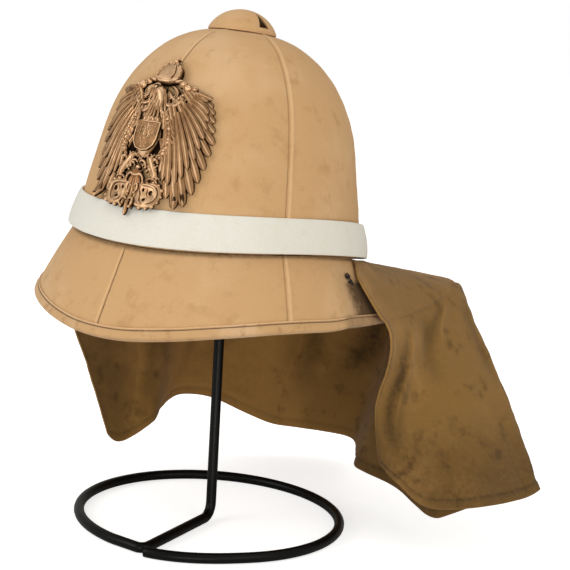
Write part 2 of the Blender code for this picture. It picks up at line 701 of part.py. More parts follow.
def hole_mesh():
    """The places that are cut right through: beside the legs, and in the scrolls of the tail."""
    bm = bmesh.new()
    for side in (-1, 1):
        for cx, cy, rx, ry in ((15.5 * side, 39.5, 1.7, 2.1), (12 * side, 34, 1.4, 1.2), (17 * side, 50.5, 2.0, 3.0)):
            outline = disc(cx, cy, rx, ry, 6)
            low = [bm.verts.new((x, y, -8)) for x, y in outline]
            high = [bm.verts.new((x, y, 8)) for x, y in outline]
            bm.faces.new(low[::-1])
            bm.faces.new(high)
            for i in range(6):
                j = (i + 1) % 6
                bm.faces.new((low[i], low[j], high[j], high[i]))
    bmesh.ops.recalc_face_normals(bm, faces=bm.faces)
    mesh = bpy.data.meshes.new("badge_holes")
    bm.to_mesh(mesh)
    bm.free()
    return mesh


def flap_hook(name, angle, seat):
    """The small wire hook that holds the flap's front corner to the brim."""
    t = math.radians(angle)
    length = brim_length(t)
    bm = bmesh.new()
    bmesh.ops.create_cube(bm, size=1)
    bmesh.ops.scale(bm, verts=bm.verts, vec=HOOK_SIZE)
    mesh = bpy.data.meshes.new(name)
    bm.to_mesh(mesh)
    bm.free()
    obj = add_object(name, mesh, "black", seat)
    a = offset_point(brim_point, t, HOOK_DOWN / length, HOOK_SIZE[2] / 2 + GAP)
    down = (brim_point(t, 0.5) - brim_point(t, 0.1)).normalized()
    normal = (a - brim_point(t, HOOK_DOWN / length)).normalized()
    across = down.cross(normal)
    turn = Matrix((across, down, normal)).transposed().to_4x4()
    obj.matrix_local = Matrix.Translation(a) @ turn
    bevel = obj.modifiers.new("Edges", "BEVEL")
    bevel.width = 0.0005
    bevel.segments = 1
    return obj


def main():
    clear_scene()
    parts = new_collection("pith_helmet")
    new_collection("cutters")
    seat = bpy.data.objects.new("helmet_seat", None)
    parts.objects.link(seat)
    seat.location = SEAT
    seat.rotation_euler = Euler((NOSE_UP, LEAN, 0))
    cork_shells(seat)
    for k in range(len(SEAMS) - 1):
        crown_panel(k, seat)
        brim_panel(k, seat)
    rim_binding(seat)
    hat_band(seat)
    vent_cap(seat)
    neck_flap(seat)
    eagle_badge(seat)
    flap_hook("flap_hook_left", HOOK_ANGLE_LEFT, seat)
    flap_hook("flap_hook_right", HOOK_ANGLE_RIGHT, seat)
    stand_wire()
    stand_head(seat)


main()
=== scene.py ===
# %% [markdown]
# # A pith helmet with a neck flap, on a wire stand
# The helmet has a stiff cork body covered with cloth panels, a white band, a cast badge, a domed vent
# cap and a long brown flap that hangs over the rear brim. The model that arrives here has every piece at
# its true size and place, but with flat facets. Each piece is made again with a fine surface, and takes the
# plain one's place.

# %% Load the plain model
import json
import math

import bpy
from mathutils import Euler, Matrix, Vector, noise

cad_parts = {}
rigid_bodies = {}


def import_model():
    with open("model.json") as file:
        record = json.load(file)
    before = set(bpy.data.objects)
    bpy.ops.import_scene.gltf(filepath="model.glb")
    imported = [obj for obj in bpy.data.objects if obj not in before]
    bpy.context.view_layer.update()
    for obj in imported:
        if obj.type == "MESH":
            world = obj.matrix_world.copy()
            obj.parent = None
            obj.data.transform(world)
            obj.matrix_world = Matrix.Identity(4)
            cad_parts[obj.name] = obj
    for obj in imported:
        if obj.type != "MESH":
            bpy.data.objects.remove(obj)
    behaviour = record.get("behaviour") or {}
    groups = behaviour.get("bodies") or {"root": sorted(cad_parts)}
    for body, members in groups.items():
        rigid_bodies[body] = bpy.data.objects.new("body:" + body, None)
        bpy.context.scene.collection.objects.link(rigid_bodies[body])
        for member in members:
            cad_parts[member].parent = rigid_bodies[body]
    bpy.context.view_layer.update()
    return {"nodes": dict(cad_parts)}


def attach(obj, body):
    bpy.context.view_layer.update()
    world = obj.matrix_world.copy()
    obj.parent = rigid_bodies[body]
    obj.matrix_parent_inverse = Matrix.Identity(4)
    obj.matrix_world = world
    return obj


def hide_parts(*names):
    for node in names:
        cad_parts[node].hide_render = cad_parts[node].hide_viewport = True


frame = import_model()
bpy.ops.object.select_all(action="DESELECT")
print("plain pieces:", len(frame["nodes"]))

# %% [markdown]
# ## The camera
# It stands a little above the brim, to the wearer's left of the front. The picture was taken slightly
# tilted, so the camera is rolled about its own axis too. Its axes are worked out from three angles and put
# in one matrix.

# %% Camera
AZIMUTH, ELEVATION, ROLL = math.radians(32), math.radians(9.31), math.radians(4.5)
DISTANCE = 1.1725
LOOK_AT = Vector((0.0388, 0.0242, 0.1933))
FOCAL_LENGTH, SENSOR = 94.74, 36


def camera_matrix(azimuth, elevation, roll):
    back = Vector((math.sin(azimuth) * math.cos(elevation), -math.cos(azimuth) * math.cos(elevation),
                   math.sin(elevation)))
    right = Vector((math.cos(azimuth), math.sin(azimuth), 0))
    up = back.cross(right)
    turned_right = right * math.cos(roll) + up * math.sin(roll)
    turned_up = up * math.cos(roll) - right * math.sin(roll)
    matrix = Matrix((turned_right, turned_up, back)).transposed().to_4x4()
    matrix.translation = LOOK_AT + back * DISTANCE
    return matrix


bpy.ops.object.camera_add()
camera = bpy.context.object
camera.name = "camera"
camera.matrix_world = camera_matrix(AZIMUTH, ELEVATION, ROLL)
camera.data.lens = FOCAL_LENGTH
camera.data.sensor_width = SENSOR
bpy.context.scene.camera = camera
print("camera at", [round(x, 3) for x in camera.location])

# %% [markdown]
# ## The helmet's surfaces
# Everything on the helmet lies on two surfaces: the crown, which is a half oval turned up into a dome, and
# the brim, which runs from the crown's foot out and down to the rim. Each is a function of an angle round
# the helmet and a share of the way across, so panels, band, cap and badge can all be laid on the same form.

# %% Sizes of the helmet and the stand
SEAT = (-0.013, -0.001, 0.2205)
NOSE_UP, LEAN = math.radians(-6.0), math.radians(0.6)
CROWN_FRONT, CROWN_REAR, CROWN_SIDE, CROWN_HEIGHT = 0.110, 0.123, 0.107, 0.1662
CROWN_POWER, CROWN_ROUND, BAND_DIP = 2.08, 2.59, 0.0055
RIM_FRONT, RIM_REAR, RIM_SIDE, REAR_POWER, RIM_SWELL = 0.135, 0.232, 0.132, 2.8, 0.12
RIM_DROP = ((0, 0.0711), (20, 0.0658), (30, 0.0607), (45, 0.0542), (65, 0.0465), (90, 0.044), (120, 0.024),
            (150, 0.014), (180, 0.014))
BRIM_BULGE, FOLD_OUT, FOLD_UP = 0.0010, 0.0012, 0.0014
CROWN_SLIM, CROWN_SLIM_TOP = 0.026, 0.76
CLOTH, CORK, UNDER_CLOTH, GAP, HEM = 0.0010, 0.0052, 0.0009, 0.0003, 0.0075
SEAMS = (0, 62, 121, 180, 239, 298, 360)
SEAT_MATRIX = Matrix.Translation(SEAT) @ Euler((NOSE_UP, LEAN, 0)).to_matrix().to_4x4()


def smooth_step(u):
    u = min(max(u, 0.0), 1.0)
    return u * u * (3 - 2 * u)


def read_table(table, x):
    for (x0, y0), (x1, y1) in zip(table, table[1:]):
        if x <= x1:
            return y0 + (y1 - y0) * (x - x0) / (x1 - x0)
    return table[-1][1]


def plan(t, front, rear, side, rear_power=2.0):
    c, s = math.cos(t), math.sin(t)
    if c >= 0:
        return side * s, -front * c
    k = 2.0 / rear_power
    return side * math.copysign(abs(s) ** k, s), rear * abs(c) ** k


def fold_angle(t):
    d = math.degrees(t) % 360
    return min(d, 360 - d)


def behind(t):
    """0 over the front half of the helmet and 1 over the rear."""
    return smooth_step((fold_angle(t) - 65) / 40)


def rim_drop(t):
    a = fold_angle(t)
    return sum(read_table(RIM_DROP, min(max(a + e, -a - e), 360 - a - e)) for e in range(-12, 13, 2)) / 13


def crown_point(t, v):
    w = math.sin(v * math.pi / 2)
    g = max(1 - w ** CROWN_POWER, 0.0) ** (1 / CROWN_ROUND)
    g *= 1 - CROWN_SLIM * math.sin(math.pi * min(w / CROWN_SLIM_TOP, 1)) ** 2
    x, y = plan(t, CROWN_FRONT, CROWN_REAR, CROWN_SIDE)
    low = -BAND_DIP * math.cos(2 * t)
    return Vector((x * g, y * g, low * (1 - w) + CROWN_HEIGHT * w))


def brim_point(t, s):
    a = crown_point(t, 0.0)
    x, y = plan(t, RIM_FRONT, RIM_REAR, RIM_SIDE, REAR_POWER)
    if y > 0:
        x *= 1 + RIM_SWELL * math.sin(2 * t) ** 2
    rim = Vector((x, y, -rim_drop(t)))
    out = Vector((x, y, 0)).normalized()
    a += (out * FOLD_OUT + Vector((0, 0, FOLD_UP))) * (1 - behind(t))
    return a.lerp(rim, s) + (out * 0.6 + Vector((0, 0, 0.8))) * (BRIM_BULGE * 4 * s * (1 - s))


def offset_point(surface, t, u, off):
    e = 0.002
    low, high = max(u - e, 0.0), min(u + e, 1.0 - 1e-4)
    du = surface(t, high) - surface(t, low)
    dt = surface(t + e, min(u, 0.999)) - surface(t - e, min(u, 0.999))
    normal = dt.cross(du)
    if surface is brim_point:
        normal = -normal
    return surface(t, u) + normal.normalized() * off


def brim_length(t):
    return (brim_point(t, 1) - brim_point(t, 0)).length


print("brim, front and back, mm:", round(brim_length(0) * 1000), round(brim_length(math.pi) * 1000))

# %% [markdown]
# ## Sheets from grids
# A sheet starts as Blender's flat grid. Every point of the grid is sent to its place on the form, its UV
# map is stretched to the cloth's size in metres, and then Solidify gives it a thickness. Measuring the area
# before that gives the size that the cloth was cut to.

# %% Helpers for sheets
def all_edit(*steps):
    """Runs edit-mode operators on all of the active piece."""
    bpy.ops.object.mode_set(mode="EDIT")
    bpy.ops.mesh.select_all(action="SELECT")
    for step, values in steps:
        step(**values)
    bpy.ops.object.mode_set(mode="OBJECT")


def make_active(piece):
    bpy.ops.object.select_all(action="DESELECT")
    piece.select_set(True)
    bpy.context.view_layer.objects.active = piece


def finish_with(piece, kind, **values):
    """Adds one modifier, sets it and applies it."""
    make_active(piece)
    modifier = piece.modifiers.new(kind.title(), kind)
    for key, value in values.items():
        setattr(modifier, key, value)
    bpy.ops.object.modifier_apply(modifier=modifier.name)


def round_edges(piece, width, segments, degrees):
    """Rounds the edges that turn by more than the given angle."""
    finish_with(piece, "BEVEL", width=width, segments=segments, limit_method="ANGLE",
                angle_limit=math.radians(degrees))


def weld(threshold):
    """Joins the doubled points of the active piece and turns its faces outward."""
    all_edit((bpy.ops.mesh.remove_doubles, {"threshold": threshold}),
             (bpy.ops.mesh.normals_make_consistent, {"inside": False}))


def add_shape(add, **values):
    """Adds one of Blender's own shapes, selected alone."""
    bpy.ops.object.select_all(action="DESELECT")
    add(**values)
    return bpy.context.object


def join_all(pieces, name):
    """Joins the pieces into the first of them."""
    bpy.ops.object.select_all(action="DESELECT")
    for piece in pieces:
        piece.select_set(True)
    bpy.context.view_layer.objects.active = pieces[0]
    bpy.ops.object.join()
    whole = bpy.context.object
    whole.name = name
    return whole


def keep_marks(piece, marks):
    """Stores per point how pale (wear, painted highlight) and how dark (soil, painted shade) the cloth is."""
    for k, name in enumerate(("rubbed_and_lit", "soiled_and_shaded")):
        attribute = piece.data.attributes.new(name, "FLOAT", "POINT")
        attribute.data.foreach_set("value", [pair[k] for pair in marks])


def lay_grid(name, across, along, place, inside, flat=(1, 1), closed=False, marks=None):
    """A grid whose points go where place(u, v) says, with its faces turned away from the point inside."""
    piece = add_shape(bpy.ops.mesh.primitive_grid_add, x_subdivisions=across, y_subdivisions=along, size=2)
    piece.name = piece.data.name = name
    net = [((p.co.x + 1) / 2, (p.co.y + 1) / 2) for p in piece.data.vertices]
    for point, (u, v) in zip(piece.data.vertices, net):
        point.co = place(u, v)
    if marks:
        keep_marks(piece, [marks(u, v) for u, v in net])
    for corner in piece.data.uv_layers.active.data:
        corner.uv = (corner.uv[0] * flat[0], corner.uv[1] * flat[1])
    if closed:
        all_edit((bpy.ops.mesh.remove_doubles, {"threshold": 0.00001}))
    facing = sum((f.center - inside).dot(f.normal) * f.area for f in piece.data.polygons)
    if facing < 0:
        all_edit((bpy.ops.mesh.flip_normals, {}))
    return piece


def area_of(piece):
    return sum(f.area for f in piece.data.polygons)


def path_length(points):
    return sum((q - p).length for p, q in zip(points, points[1:]))


def shade(piece, degrees):
    make_active(piece)
    bpy.ops.object.shade_smooth_by_angle(angle=math.radians(degrees))


def place_in_world(piece, matrix):
    """Moves the piece's points, not its object, so that its pattern stays with it."""
    piece.data.transform(matrix)
    piece.data.update()


CENTRE = Vector((0, 0, 0.03))
print("sheet helpers ready")

# %% [markdown]
# ## Shader groups
# Four effects come back in many finishes: the over-and-under of a plain weave, the uneven colour of old
# cloth, the rubbed and dirty places of a worn surface, and fine creases. Each is built once as a group with
# named sockets.

# %% Helpers for node trees
def socket_group(name, inputs, outputs):
    tree = bpy.data.node_groups.new(name, "ShaderNodeTree")
    for label, kind, value in inputs:
        socket = tree.interface.new_socket(label, in_out="INPUT", socket_type="NodeSocket" + kind)
        if value is not None:
            socket.default_value = value
    for label, kind in outputs:
        tree.interface.new_socket(label, in_out="OUTPUT", socket_type="NodeSocket" + kind)
    return tree, tree.nodes.new("NodeGroupInput"), tree.nodes.new("NodeGroupOutput")


def add_node(tree, kind, links=None, **settings):
    """Adds a node, sets its properties, and feeds its sockets with values or other nodes' outputs."""
    node = tree.nodes.new(kind)
    for key, value in settings.items():
        setattr(node, key, value)
    for key, source in (links or {}).items():
        if isinstance(source, bpy.types.NodeSocket):
            tree.links.new(source, node.inputs[key])
        else:
            node.inputs[key].default_value = source
    return node


def maths(tree, operation, a, b=0.0):
    return add_node(tree, "ShaderNodeMath", {0: a, 1: b}, operation=operation).outputs[0]


def times(tree, a, b):
    return maths(tree, "MULTIPLY", a, b)


def ramp_between(tree, factor, low, high):
    """0 below low and 1 above high."""
    node = add_node(tree, "ShaderNodeMapRange", {"Value": factor, "From Min": low, "From Max": high})
    node.interpolation_type = "SMOOTHSTEP"
    return node.outputs["Result"]


def mix_colours(tree, factor, a, b):
    """Colour a where the factor is 0 and colour b where it is 1."""
    sockets = {0: factor, 6: a, 7: b}
    return add_node(tree, "ShaderNodeMix", sockets, data_type="RGBA", clamp_factor=True).outputs[2]


def object_place(tree):
    return add_node(tree, "ShaderNodeTexCoord").outputs["Object"]


def mark_value(tree, name):
    """What the piece's points keep under this name."""
    return add_node(tree, "ShaderNodeAttribute", attribute_name=name).outputs["Fac"]


def noise_value(tree, vector, scale, detail, rough):
    node = add_node(tree, "ShaderNodeTexNoise", {"Vector": vector, "Scale": scale, "Detail": detail,
                                                 "Roughness": rough})
    return node.outputs["Fac"]


print("node helpers ready")


# %% Plain weave
def make_weave():
    tree, given, result = socket_group(
        "plain_weave", (("Vector", "Vector", None), ("Threads", "Float", 1800.0)),
        (("Height", "Float"),))
    split = add_node(tree, "ShaderNodeSeparateXYZ", {0: given.outputs["Vector"]})
    turns = times(tree, given.outputs["Threads"], math.pi)
    warp = maths(tree, "SINE", times(tree, split.outputs["X"], turns))
    weft = maths(tree, "SINE", times(tree, split.outputs["Y"], turns))
    over = times(tree, warp, weft)
    warp_up = times(tree, maths(tree, "ABSOLUTE", warp), maths(tree, "ADD", over, 1.0))
    weft_up = times(tree, maths(tree, "ABSOLUTE", weft), maths(tree, "SUBTRACT", 1.0, over))
    height = maths(tree, "MAXIMUM", warp_up, weft_up)
    tree.links.new(height, result.inputs["Height"])
    return tree


PLAIN_WEAVE = make_weave()
print("group:", PLAIN_WEAVE.name)


# %% Uneven colour of old cloth
def make_aged_colour():
    tree, given, result = socket_group(
        "aged_colour",
        (("Base", "Color", None), ("Faded", "Color", None), ("Stained", "Color", None),
         ("Scale", "Float", 14.0), ("Fade", "Float", 0.5), ("Stain", "Float", 0.5)),
        (("Color", "Color"),))
    where = object_place(tree)
    broad = noise_value(tree, where, given.outputs["Scale"], 4.0, 0.55)
    close = noise_value(tree, where, times(tree, given.outputs["Scale"], 4.3), 5.0, 0.6)
    fine = noise_value(tree, where, times(tree, given.outputs["Scale"], 60.0), 2.0, 0.6)
    faded = times(tree, ramp_between(tree, broad, 0.45, 0.68), given.outputs["Fade"])
    stained = times(tree, ramp_between(tree, close, 0.52, 0.74), given.outputs["Stain"])
    colour = mix_colours(tree, faded, given.outputs["Base"], given.outputs["Faded"])
    colour = mix_colours(tree, stained, colour, given.outputs["Stained"])
    grain = maths(tree, "ADD", times(tree, fine, 0.16), 0.92)
    shaded = add_node(tree, "ShaderNodeVectorMath", {0: colour, 1: (1, 1, 1)}, operation="MULTIPLY")
    spread = add_node(tree, "ShaderNodeCombineXYZ", {0: grain, 1: grain, 2: grain})
    tree.links.new(spread.outputs[0], shaded.inputs[1])
    tree.links.new(shaded.outputs[0], result.inputs["Color"])
    return tree


AGED_COLOUR = make_aged_colour()
print("group:", AGED_COLOUR.name)


# %% Rubbed marks and specks
def make_marks():
    tree, given, result = socket_group(
        "rubbed_marks", (("Scale", "Float", 60.0), ("Amount", "Float", 0.5)),
        (("Mask", "Float"),))
    where = object_place(tree)
    stretched = add_node(tree, "ShaderNodeMapping", {"Vector": where, "Rotation": (0.5, 0.3, 0.8),
                                                     "Scale": (1.0, 0.35, 1.0)})
    streaks = noise_value(tree, stretched.outputs[0], given.outputs["Scale"], 4.0, 0.65)
    patches = noise_value(tree, where, times(tree, given.outputs["Scale"], 0.22), 2.0, 0.5)
    mask = times(tree, ramp_between(tree, streaks, 0.60, 0.74), ramp_between(tree, patches, 0.50, 0.62))
    mask = times(tree, mask, given.outputs["Amount"])
    tree.links.new(mask, result.inputs["Mask"])
    return tree


RUBBED_MARKS = make_marks()
print("group:", RUBBED_MARKS.name)


# %% Fine creases
def make_creases():
    """Thin wandering lines where two shades of a noise meet, in patches."""
    tree, given, result = socket_group(
        "fine_creases", (("Scale", "Float", 30.0), ("Width", "Float", 0.02)),
        (("Mask", "Float"),))
    where = object_place(tree)
    squeezed = add_node(tree, "ShaderNodeMapping", {"Vector": where, "Rotation": (0.2, 0.5, 0.4),
                                                    "Scale": (0.6, 0.6, 1.5)})
    shades = noise_value(tree, squeezed.outputs[0], given.outputs["Scale"], 4.0, 0.55)
    away = maths(tree, "ABSOLUTE", maths(tree, "SUBTRACT", shades, 0.5))
    line = maths(tree, "SUBTRACT", 1.0, ramp_between(tree, away, 0.0, given.outputs["Width"]))
    patches = noise_value(tree, where, times(tree, given.outputs["Scale"], 0.7), 2.0, 0.5)
    mask = times(tree, line, ramp_between(tree, patches, 0.42, 0.62))
    tree.links.new(mask, result.inputs["Mask"])
    return tree


FINE_CREASES = make_creases()
print("group:", FINE_CREASES.name)

# %% [markdown]
# ## The finishes
# Old khaki cotton is matt, slightly lighter where the sun has bleached it and brown where it was handled.
# Some pale and dark marks on the cloth are painted highlight and painted shade. The flap is of a darker,
# softer cotton. The badge was gilded and has gone the colour of copper; its hollows are painted dark,
# tarnish with painted shade, and its crests pale gilt with a painted highlight. The stand is satin black.


# %% Helpers for finishes
def group_node(tree, group, **values):
    return add_node(tree, "ShaderNodeGroup", values, node_tree=group)


def new_material(name, roughness, metallic=0.0):
    material = bpy.data.materials.new(name)
    material.use_nodes = True
    tree = material.node_tree
    shader = tree.nodes["Principled BSDF"]
    shader.inputs["Roughness"].default_value = roughness
    shader.inputs["Metallic"].default_value = metallic
    return material, tree, shader


def set_bump(tree, shader, height, strength, distance):
    bump = add_node(tree, "ShaderNodeBump", {"Height": height, "Strength": strength, "Distance": distance})
    tree.links.new(bump.outputs[0], shader.inputs["Normal"])


print("finish helpers ready")


# %% Cloth materials
CLOTH_ROUGHNESS, RUBBED_AND_LIT_TONE, GRIME_AND_SHADE_TONE = 0.92, 1.22, 0.22
WEAVE_HEIGHT, LUMP_HEIGHT = 0.12, 0.5


def cloth_material(name, base, faded, stained, fade, stain, marks, scale=14.0, threads=1800.0, sheen=0.08,
                   crumple=0.0, mark_tone=0.45):
    """Old cotton, faded and stained in patches; paler where its points carry wear and painted highlight, darker
    where they carry soil and painted shade.
    """
    material, tree, shader = new_material(name, CLOTH_ROUGHNESS)
    shader.inputs["Sheen Weight"].default_value = sheen
    shader.inputs["Sheen Roughness"].default_value = 0.5
    shader.inputs["Specular IOR Level"].default_value = 0.25
    aged = group_node(tree, AGED_COLOUR, Base=(*base, 1), Faded=(*faded, 1), Stained=(*stained, 1),
                      Scale=scale, Fade=fade, Stain=stain)
    worn = group_node(tree, RUBBED_MARKS, Scale=70.0, Amount=marks)
    dark, pale = tuple(c * mark_tone for c in stained), tuple(min(c * RUBBED_AND_LIT_TONE, 0.9) for c in faded)
    where = object_place(tree)
    uneven = maths(tree, "ADD", noise_value(tree, where, 240.0, 4.0, 0.7), 0.35)
    rubbed_and_lit, soiled_and_shaded = mark_value(tree, "rubbed_and_lit"), mark_value(tree, "soiled_and_shaded")
    colour = mix_colours(tree, worn.outputs["Mask"], aged.outputs["Color"], (*dark, 1))
    creased = group_node(tree, FINE_CREASES, Scale=34.0, Width=0.018).outputs["Mask"]
    # Along the fine crease lines the colour is darkened a little, a painted shade in the creases.
    if crumple:
        colour = mix_colours(tree, times(tree, creased, 0.07), colour, (*dark, 1))
    # Pale marks are wear and painted highlight, dark marks are soil and painted shade, as kept on the points.
    colour = mix_colours(tree, times(tree, rubbed_and_lit, uneven), colour, (*pale, 1))
    grime_and_shade = tuple(c * GRIME_AND_SHADE_TONE for c in stained)
    colour = mix_colours(tree, times(tree, soiled_and_shaded, uneven), colour, (*grime_and_shade, 1))
    tree.links.new(colour, shader.inputs["Base Color"])
    uv = add_node(tree, "ShaderNodeUVMap").outputs[0]
    weave = group_node(tree, PLAIN_WEAVE, Vector=uv, Threads=threads)
    height = times(tree, weave.outputs["Height"], WEAVE_HEIGHT)
    lumps = times(tree, noise_value(tree, where, 420.0, 3.0, 0.6), LUMP_HEIGHT)
    height = maths(tree, "ADD", height, lumps)
    if crumple:
        creases = noise_value(tree, where, 46.0, 6.0, 0.6)
        height = maths(tree, "ADD", height, times(tree, creases, crumple))
        height = maths(tree, "SUBTRACT", height, creased)
    set_bump(tree, shader, height, 0.35, 0.0006)
    return material


KHAKI = cloth_material("khaki_cotton", (0.635, 0.385, 0.182), (0.70, 0.455, 0.246), (0.50, 0.275, 0.110),
                       fade=0.9, stain=0.6, marks=0.22, sheen=0.03)
WHITE = cloth_material("white_cotton", (0.80, 0.775, 0.69), (0.84, 0.82, 0.75), (0.70, 0.65, 0.52), fade=0.4,
                       stain=0.35, marks=0.08, threads=1500.0)
KHAKI_RIM = cloth_material("khaki_rim_cotton", (0.61, 0.37, 0.175), (0.70, 0.46, 0.26), (0.44, 0.245, 0.105),
                           scale=26.0, fade=0.9, stain=0.8, marks=0.5)
BROWN = cloth_material("brown_flap_cotton", (0.252, 0.134, 0.034), (0.375, 0.200, 0.058),
                       (0.130, 0.066, 0.015), scale=13.0, fade=1.0, stain=0.9, marks=0.12, threads=1400.0,
                       sheen=0.10, crumple=2.6, mark_tone=0.75)
print("cloths:", [m.name for m in (KHAKI, KHAKI_RIM, WHITE, BROWN)])


# %% Cork, thread, metal and paint
def simple_material(name, light, dark, scale, roughness, metallic=0.0, bump=0.3, depth=0.0005, shine=0.5):
    material, tree, shader = new_material(name, roughness, metallic)
    shader.inputs["Specular IOR Level"].default_value = shine
    where = object_place(tree)
    speckle = noise_value(tree, where, scale, 5.0, 0.65)
    colour = mix_colours(tree, ramp_between(tree, speckle, 0.35, 0.65), (*dark, 1), (*light, 1))
    tree.links.new(colour, shader.inputs["Base Color"])
    set_bump(tree, shader, speckle, bump, depth)
    return material


def badge_material():
    """The attribute relief is 0 at the foot of each form and 1 on its crest; the hollows are painted near black,
    tarnish with painted shade, and the crests pale gilt with a painted highlight.
    """
    material, tree, shader = new_material("copper_gilt", 0.36, 1.0)
    relief = mark_value(tree, "relief")
    where = object_place(tree)
    cloud = noise_value(tree, where, 160.0, 4.0, 0.6)
    uneven = maths(tree, "ADD", relief, times(tree, maths(tree, "SUBTRACT", cloud, 0.5), 0.5))
    # Low relief runs to near black, tarnish with painted shade; high relief to pale gilt with a painted
    # highlight.
    black, copper, gilt = (0.020, 0.011, 0.006, 1), (0.36, 0.195, 0.090, 1), (0.80, 0.525, 0.305, 1)
    hollow = mix_colours(tree, ramp_between(tree, uneven, 0.22, 0.58), black, copper)
    colour = mix_colours(tree, ramp_between(tree, uneven, 0.60, 1.0), hollow, gilt)
    tarnish = group_node(tree, RUBBED_MARKS, Scale=120.0, Amount=0.8)
    colour = mix_colours(tree, tarnish.outputs["Mask"], colour, (0.09, 0.06, 0.05, 1))
    tree.links.new(colour, shader.inputs["Base Color"])
    dull = maths(tree, "SUBTRACT", 0.66, times(tree, ramp_between(tree, uneven, 0.1, 0.9), 0.22))
    tree.links.new(dull, shader.inputs["Roughness"])
    set_bump(tree, shader, cloud, 0.25, 0.0004)
    return material


CORK_MATERIAL = simple_material("raw_cork", (0.46, 0.31, 0.17), (0.27, 0.16, 0.08), 260.0, 0.9,
                                bump=0.6, depth=0.001)
THREAD = simple_material("dark_thread", (0.12, 0.075, 0.04), (0.06, 0.035, 0.02), 900.0, 0.85)
BROWN_THREAD = simple_material("flap_thread", (0.23, 0.135, 0.06), (0.12, 0.065, 0.03), 900.0, 0.85)
BLACK_IRON = simple_material("blackened_wire", (0.05, 0.045, 0.04), (0.012, 0.011, 0.01), 500.0, 0.45, 0.7)
BLACK_PAINT = simple_material("satin_black", (0.0045, 0.0045, 0.0040), (0.002, 0.002, 0.002), 700.0, 0.36,
                              bump=0.08, depth=0.0002, shine=0.15)
GILT = badge_material()
print("metals and paint:", [m.name for m in (BLACK_IRON, BLACK_PAINT, GILT)])


# %% Handing a piece over
def hand_over(piece, material, slot, *nodes):
    piece.data.materials.clear()
    piece.data.materials.append(material)
    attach(piece, "root")
    if nodes:
        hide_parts(*nodes)


def face_count(piece):
    return len(piece.data.polygons)


# %% [markdown]
# ## The cork body
# Cork sheets glued over a form make one light shell. From outside only its cover shows, but the inside of
# the crown and the underside of the brim are open to view from below. Two rings of grid, the crown and the
# brim, meet in the fold at the foot of the crown.


# %% Cork crown and brim
CORK_TOP, CORK_START, CORK_SHORT, FOLD_SHARE = 0.925, 0.02, 0.0015, 0.015


def cork_depth(k):
    return -(CLOTH + UNDER_CLOTH + CORK * k)


def crown_foot(t, k):
    return offset_point(crown_point, t, 0, cork_depth(k)) + Vector((0, 0, GAP))


def brim_top(t, k):
    middle = crown_foot(t, k).lerp(offset_point(brim_point, t, 0, cork_depth(k)), 0.5)
    return middle - Vector((0, 0, 1.5 * GAP))


def ring_section(name, section, steps, rounds=144, marks=None):
    """A closed tube of rings, where section(t, w) goes once round the cut through the material with w."""
    def place(u, v):
        return SEAT_MATRIX @ section(2 * math.pi * u, v)
    piece = lay_grid(name, rounds, steps, place, Vector((0, 0, -9)), closed=True, marks=marks)
    all_edit((bpy.ops.mesh.normals_make_consistent, {"inside": False}))
    return piece


def cork_crown_section(t, w):
    k = 0.0 if w < 0.5 else 1.0
    share = min(w, 1 - w) * 2
    if share > 1 - FOLD_SHARE:
        return crown_foot(t, k)
    height = CORK_TOP * (1 - share / (1 - FOLD_SHARE)) + CORK_START * share
    return offset_point(crown_point, t, height, cork_depth(k))


def cork_brim_section(t, w):
    k = 0.0 if w < 0.5 else 1.0
    share = min(w, 1 - w) * 2
    if share < FOLD_SHARE:
        return brim_top(t, k)
    reach = 1 - CORK_START - CORK_SHORT / brim_length(t)
    s = CORK_START + reach * (share - FOLD_SHARE) / (1 - FOLD_SHARE)
    return offset_point(brim_point, t, s, cork_depth(k))


crown_cork = ring_section("crown_cork", cork_crown_section, 61)
brim_cork = ring_section("brim_cork", cork_brim_section, 31)
for piece, node in ((crown_cork, "cork_crown"), (brim_cork, "cork_brim")):
    shade(piece, 50)
    hand_over(piece, CORK_MATERIAL, "cork", node)
    print(piece.name, face_count(piece), "faces")

# %% [markdown]
# ## The cloth panels
# Six panels cover the crown and six the brim. Each is turned under along its seams, so the surface dips
# into a fine groove, and beside it lies the narrow ridge of the seam allowance. The columns of the grid are
# closer together near the seams, where the shape changes fast.

# %% Seams and gentle dents
SEAM_GAP, SEAM_DIP, SEAM_DIP_WIDTH = 0.0001, 0.0004, 0.0006
RIDGE, RIDGE_WIDTH, RIDGE_SIDE = 0.00035, 0.0040, 0.0012
PUCKER, PUCKER_PITCH, PUCKER_REACH = 0.00014, 0.0021, 0.005
DENT, COVER_THICK = 0.0006, CLOTH * 0.9


def seam_relief(from_start, from_end, run):
    """How far the cloth lies above its form, by its distance from the two seams and the way along them."""
    near = min(from_start, from_end)
    dip = SEAM_DIP * math.exp(-(near / SEAM_DIP_WIDTH) ** 2)
    ridge = RIDGE * smooth_step(from_start / RIDGE_SIDE)
    ridge *= smooth_step((RIDGE_WIDTH + RIDGE_SIDE - from_start) / RIDGE_SIDE)
    pucker = PUCKER * math.sin(run / PUCKER_PITCH) * math.exp(-near / PUCKER_REACH)
    return ridge - dip + pucker


def hump(x, low, high, edge):
    return smooth_step((x - low) / edge) * smooth_step((high - x) / edge)


def seam_marks(k, from_start, from_end, run):
    """Pale along the ridges, wear with a painted highlight, and dark in the seams; on the front seam the ridge
    is on the other side.
    """
    fray = 0.75 + 0.25 * noise.noise(Vector((run * 160, k, 3.0)))
    rubbed_and_lit = 0.75 * fray * (hump(from_end, 0.0006, 0.0028, 0.0008) if k == 5 else 0)
    rubbed_and_lit += 0.9 * fray * (hump(from_start, 0.0009, 0.0040, 0.0010) if k else 0)
    front = (k == 0 and from_start < from_end) or (k == 5 and from_end < from_start)
    dark = 0.95 if front else 0.25
    return rubbed_and_lit, dark * math.exp(-(min(from_start, from_end) / 0.0005) ** 2) * fray


def gentle(point, scale, height):
    return height * noise.noise(point * scale)


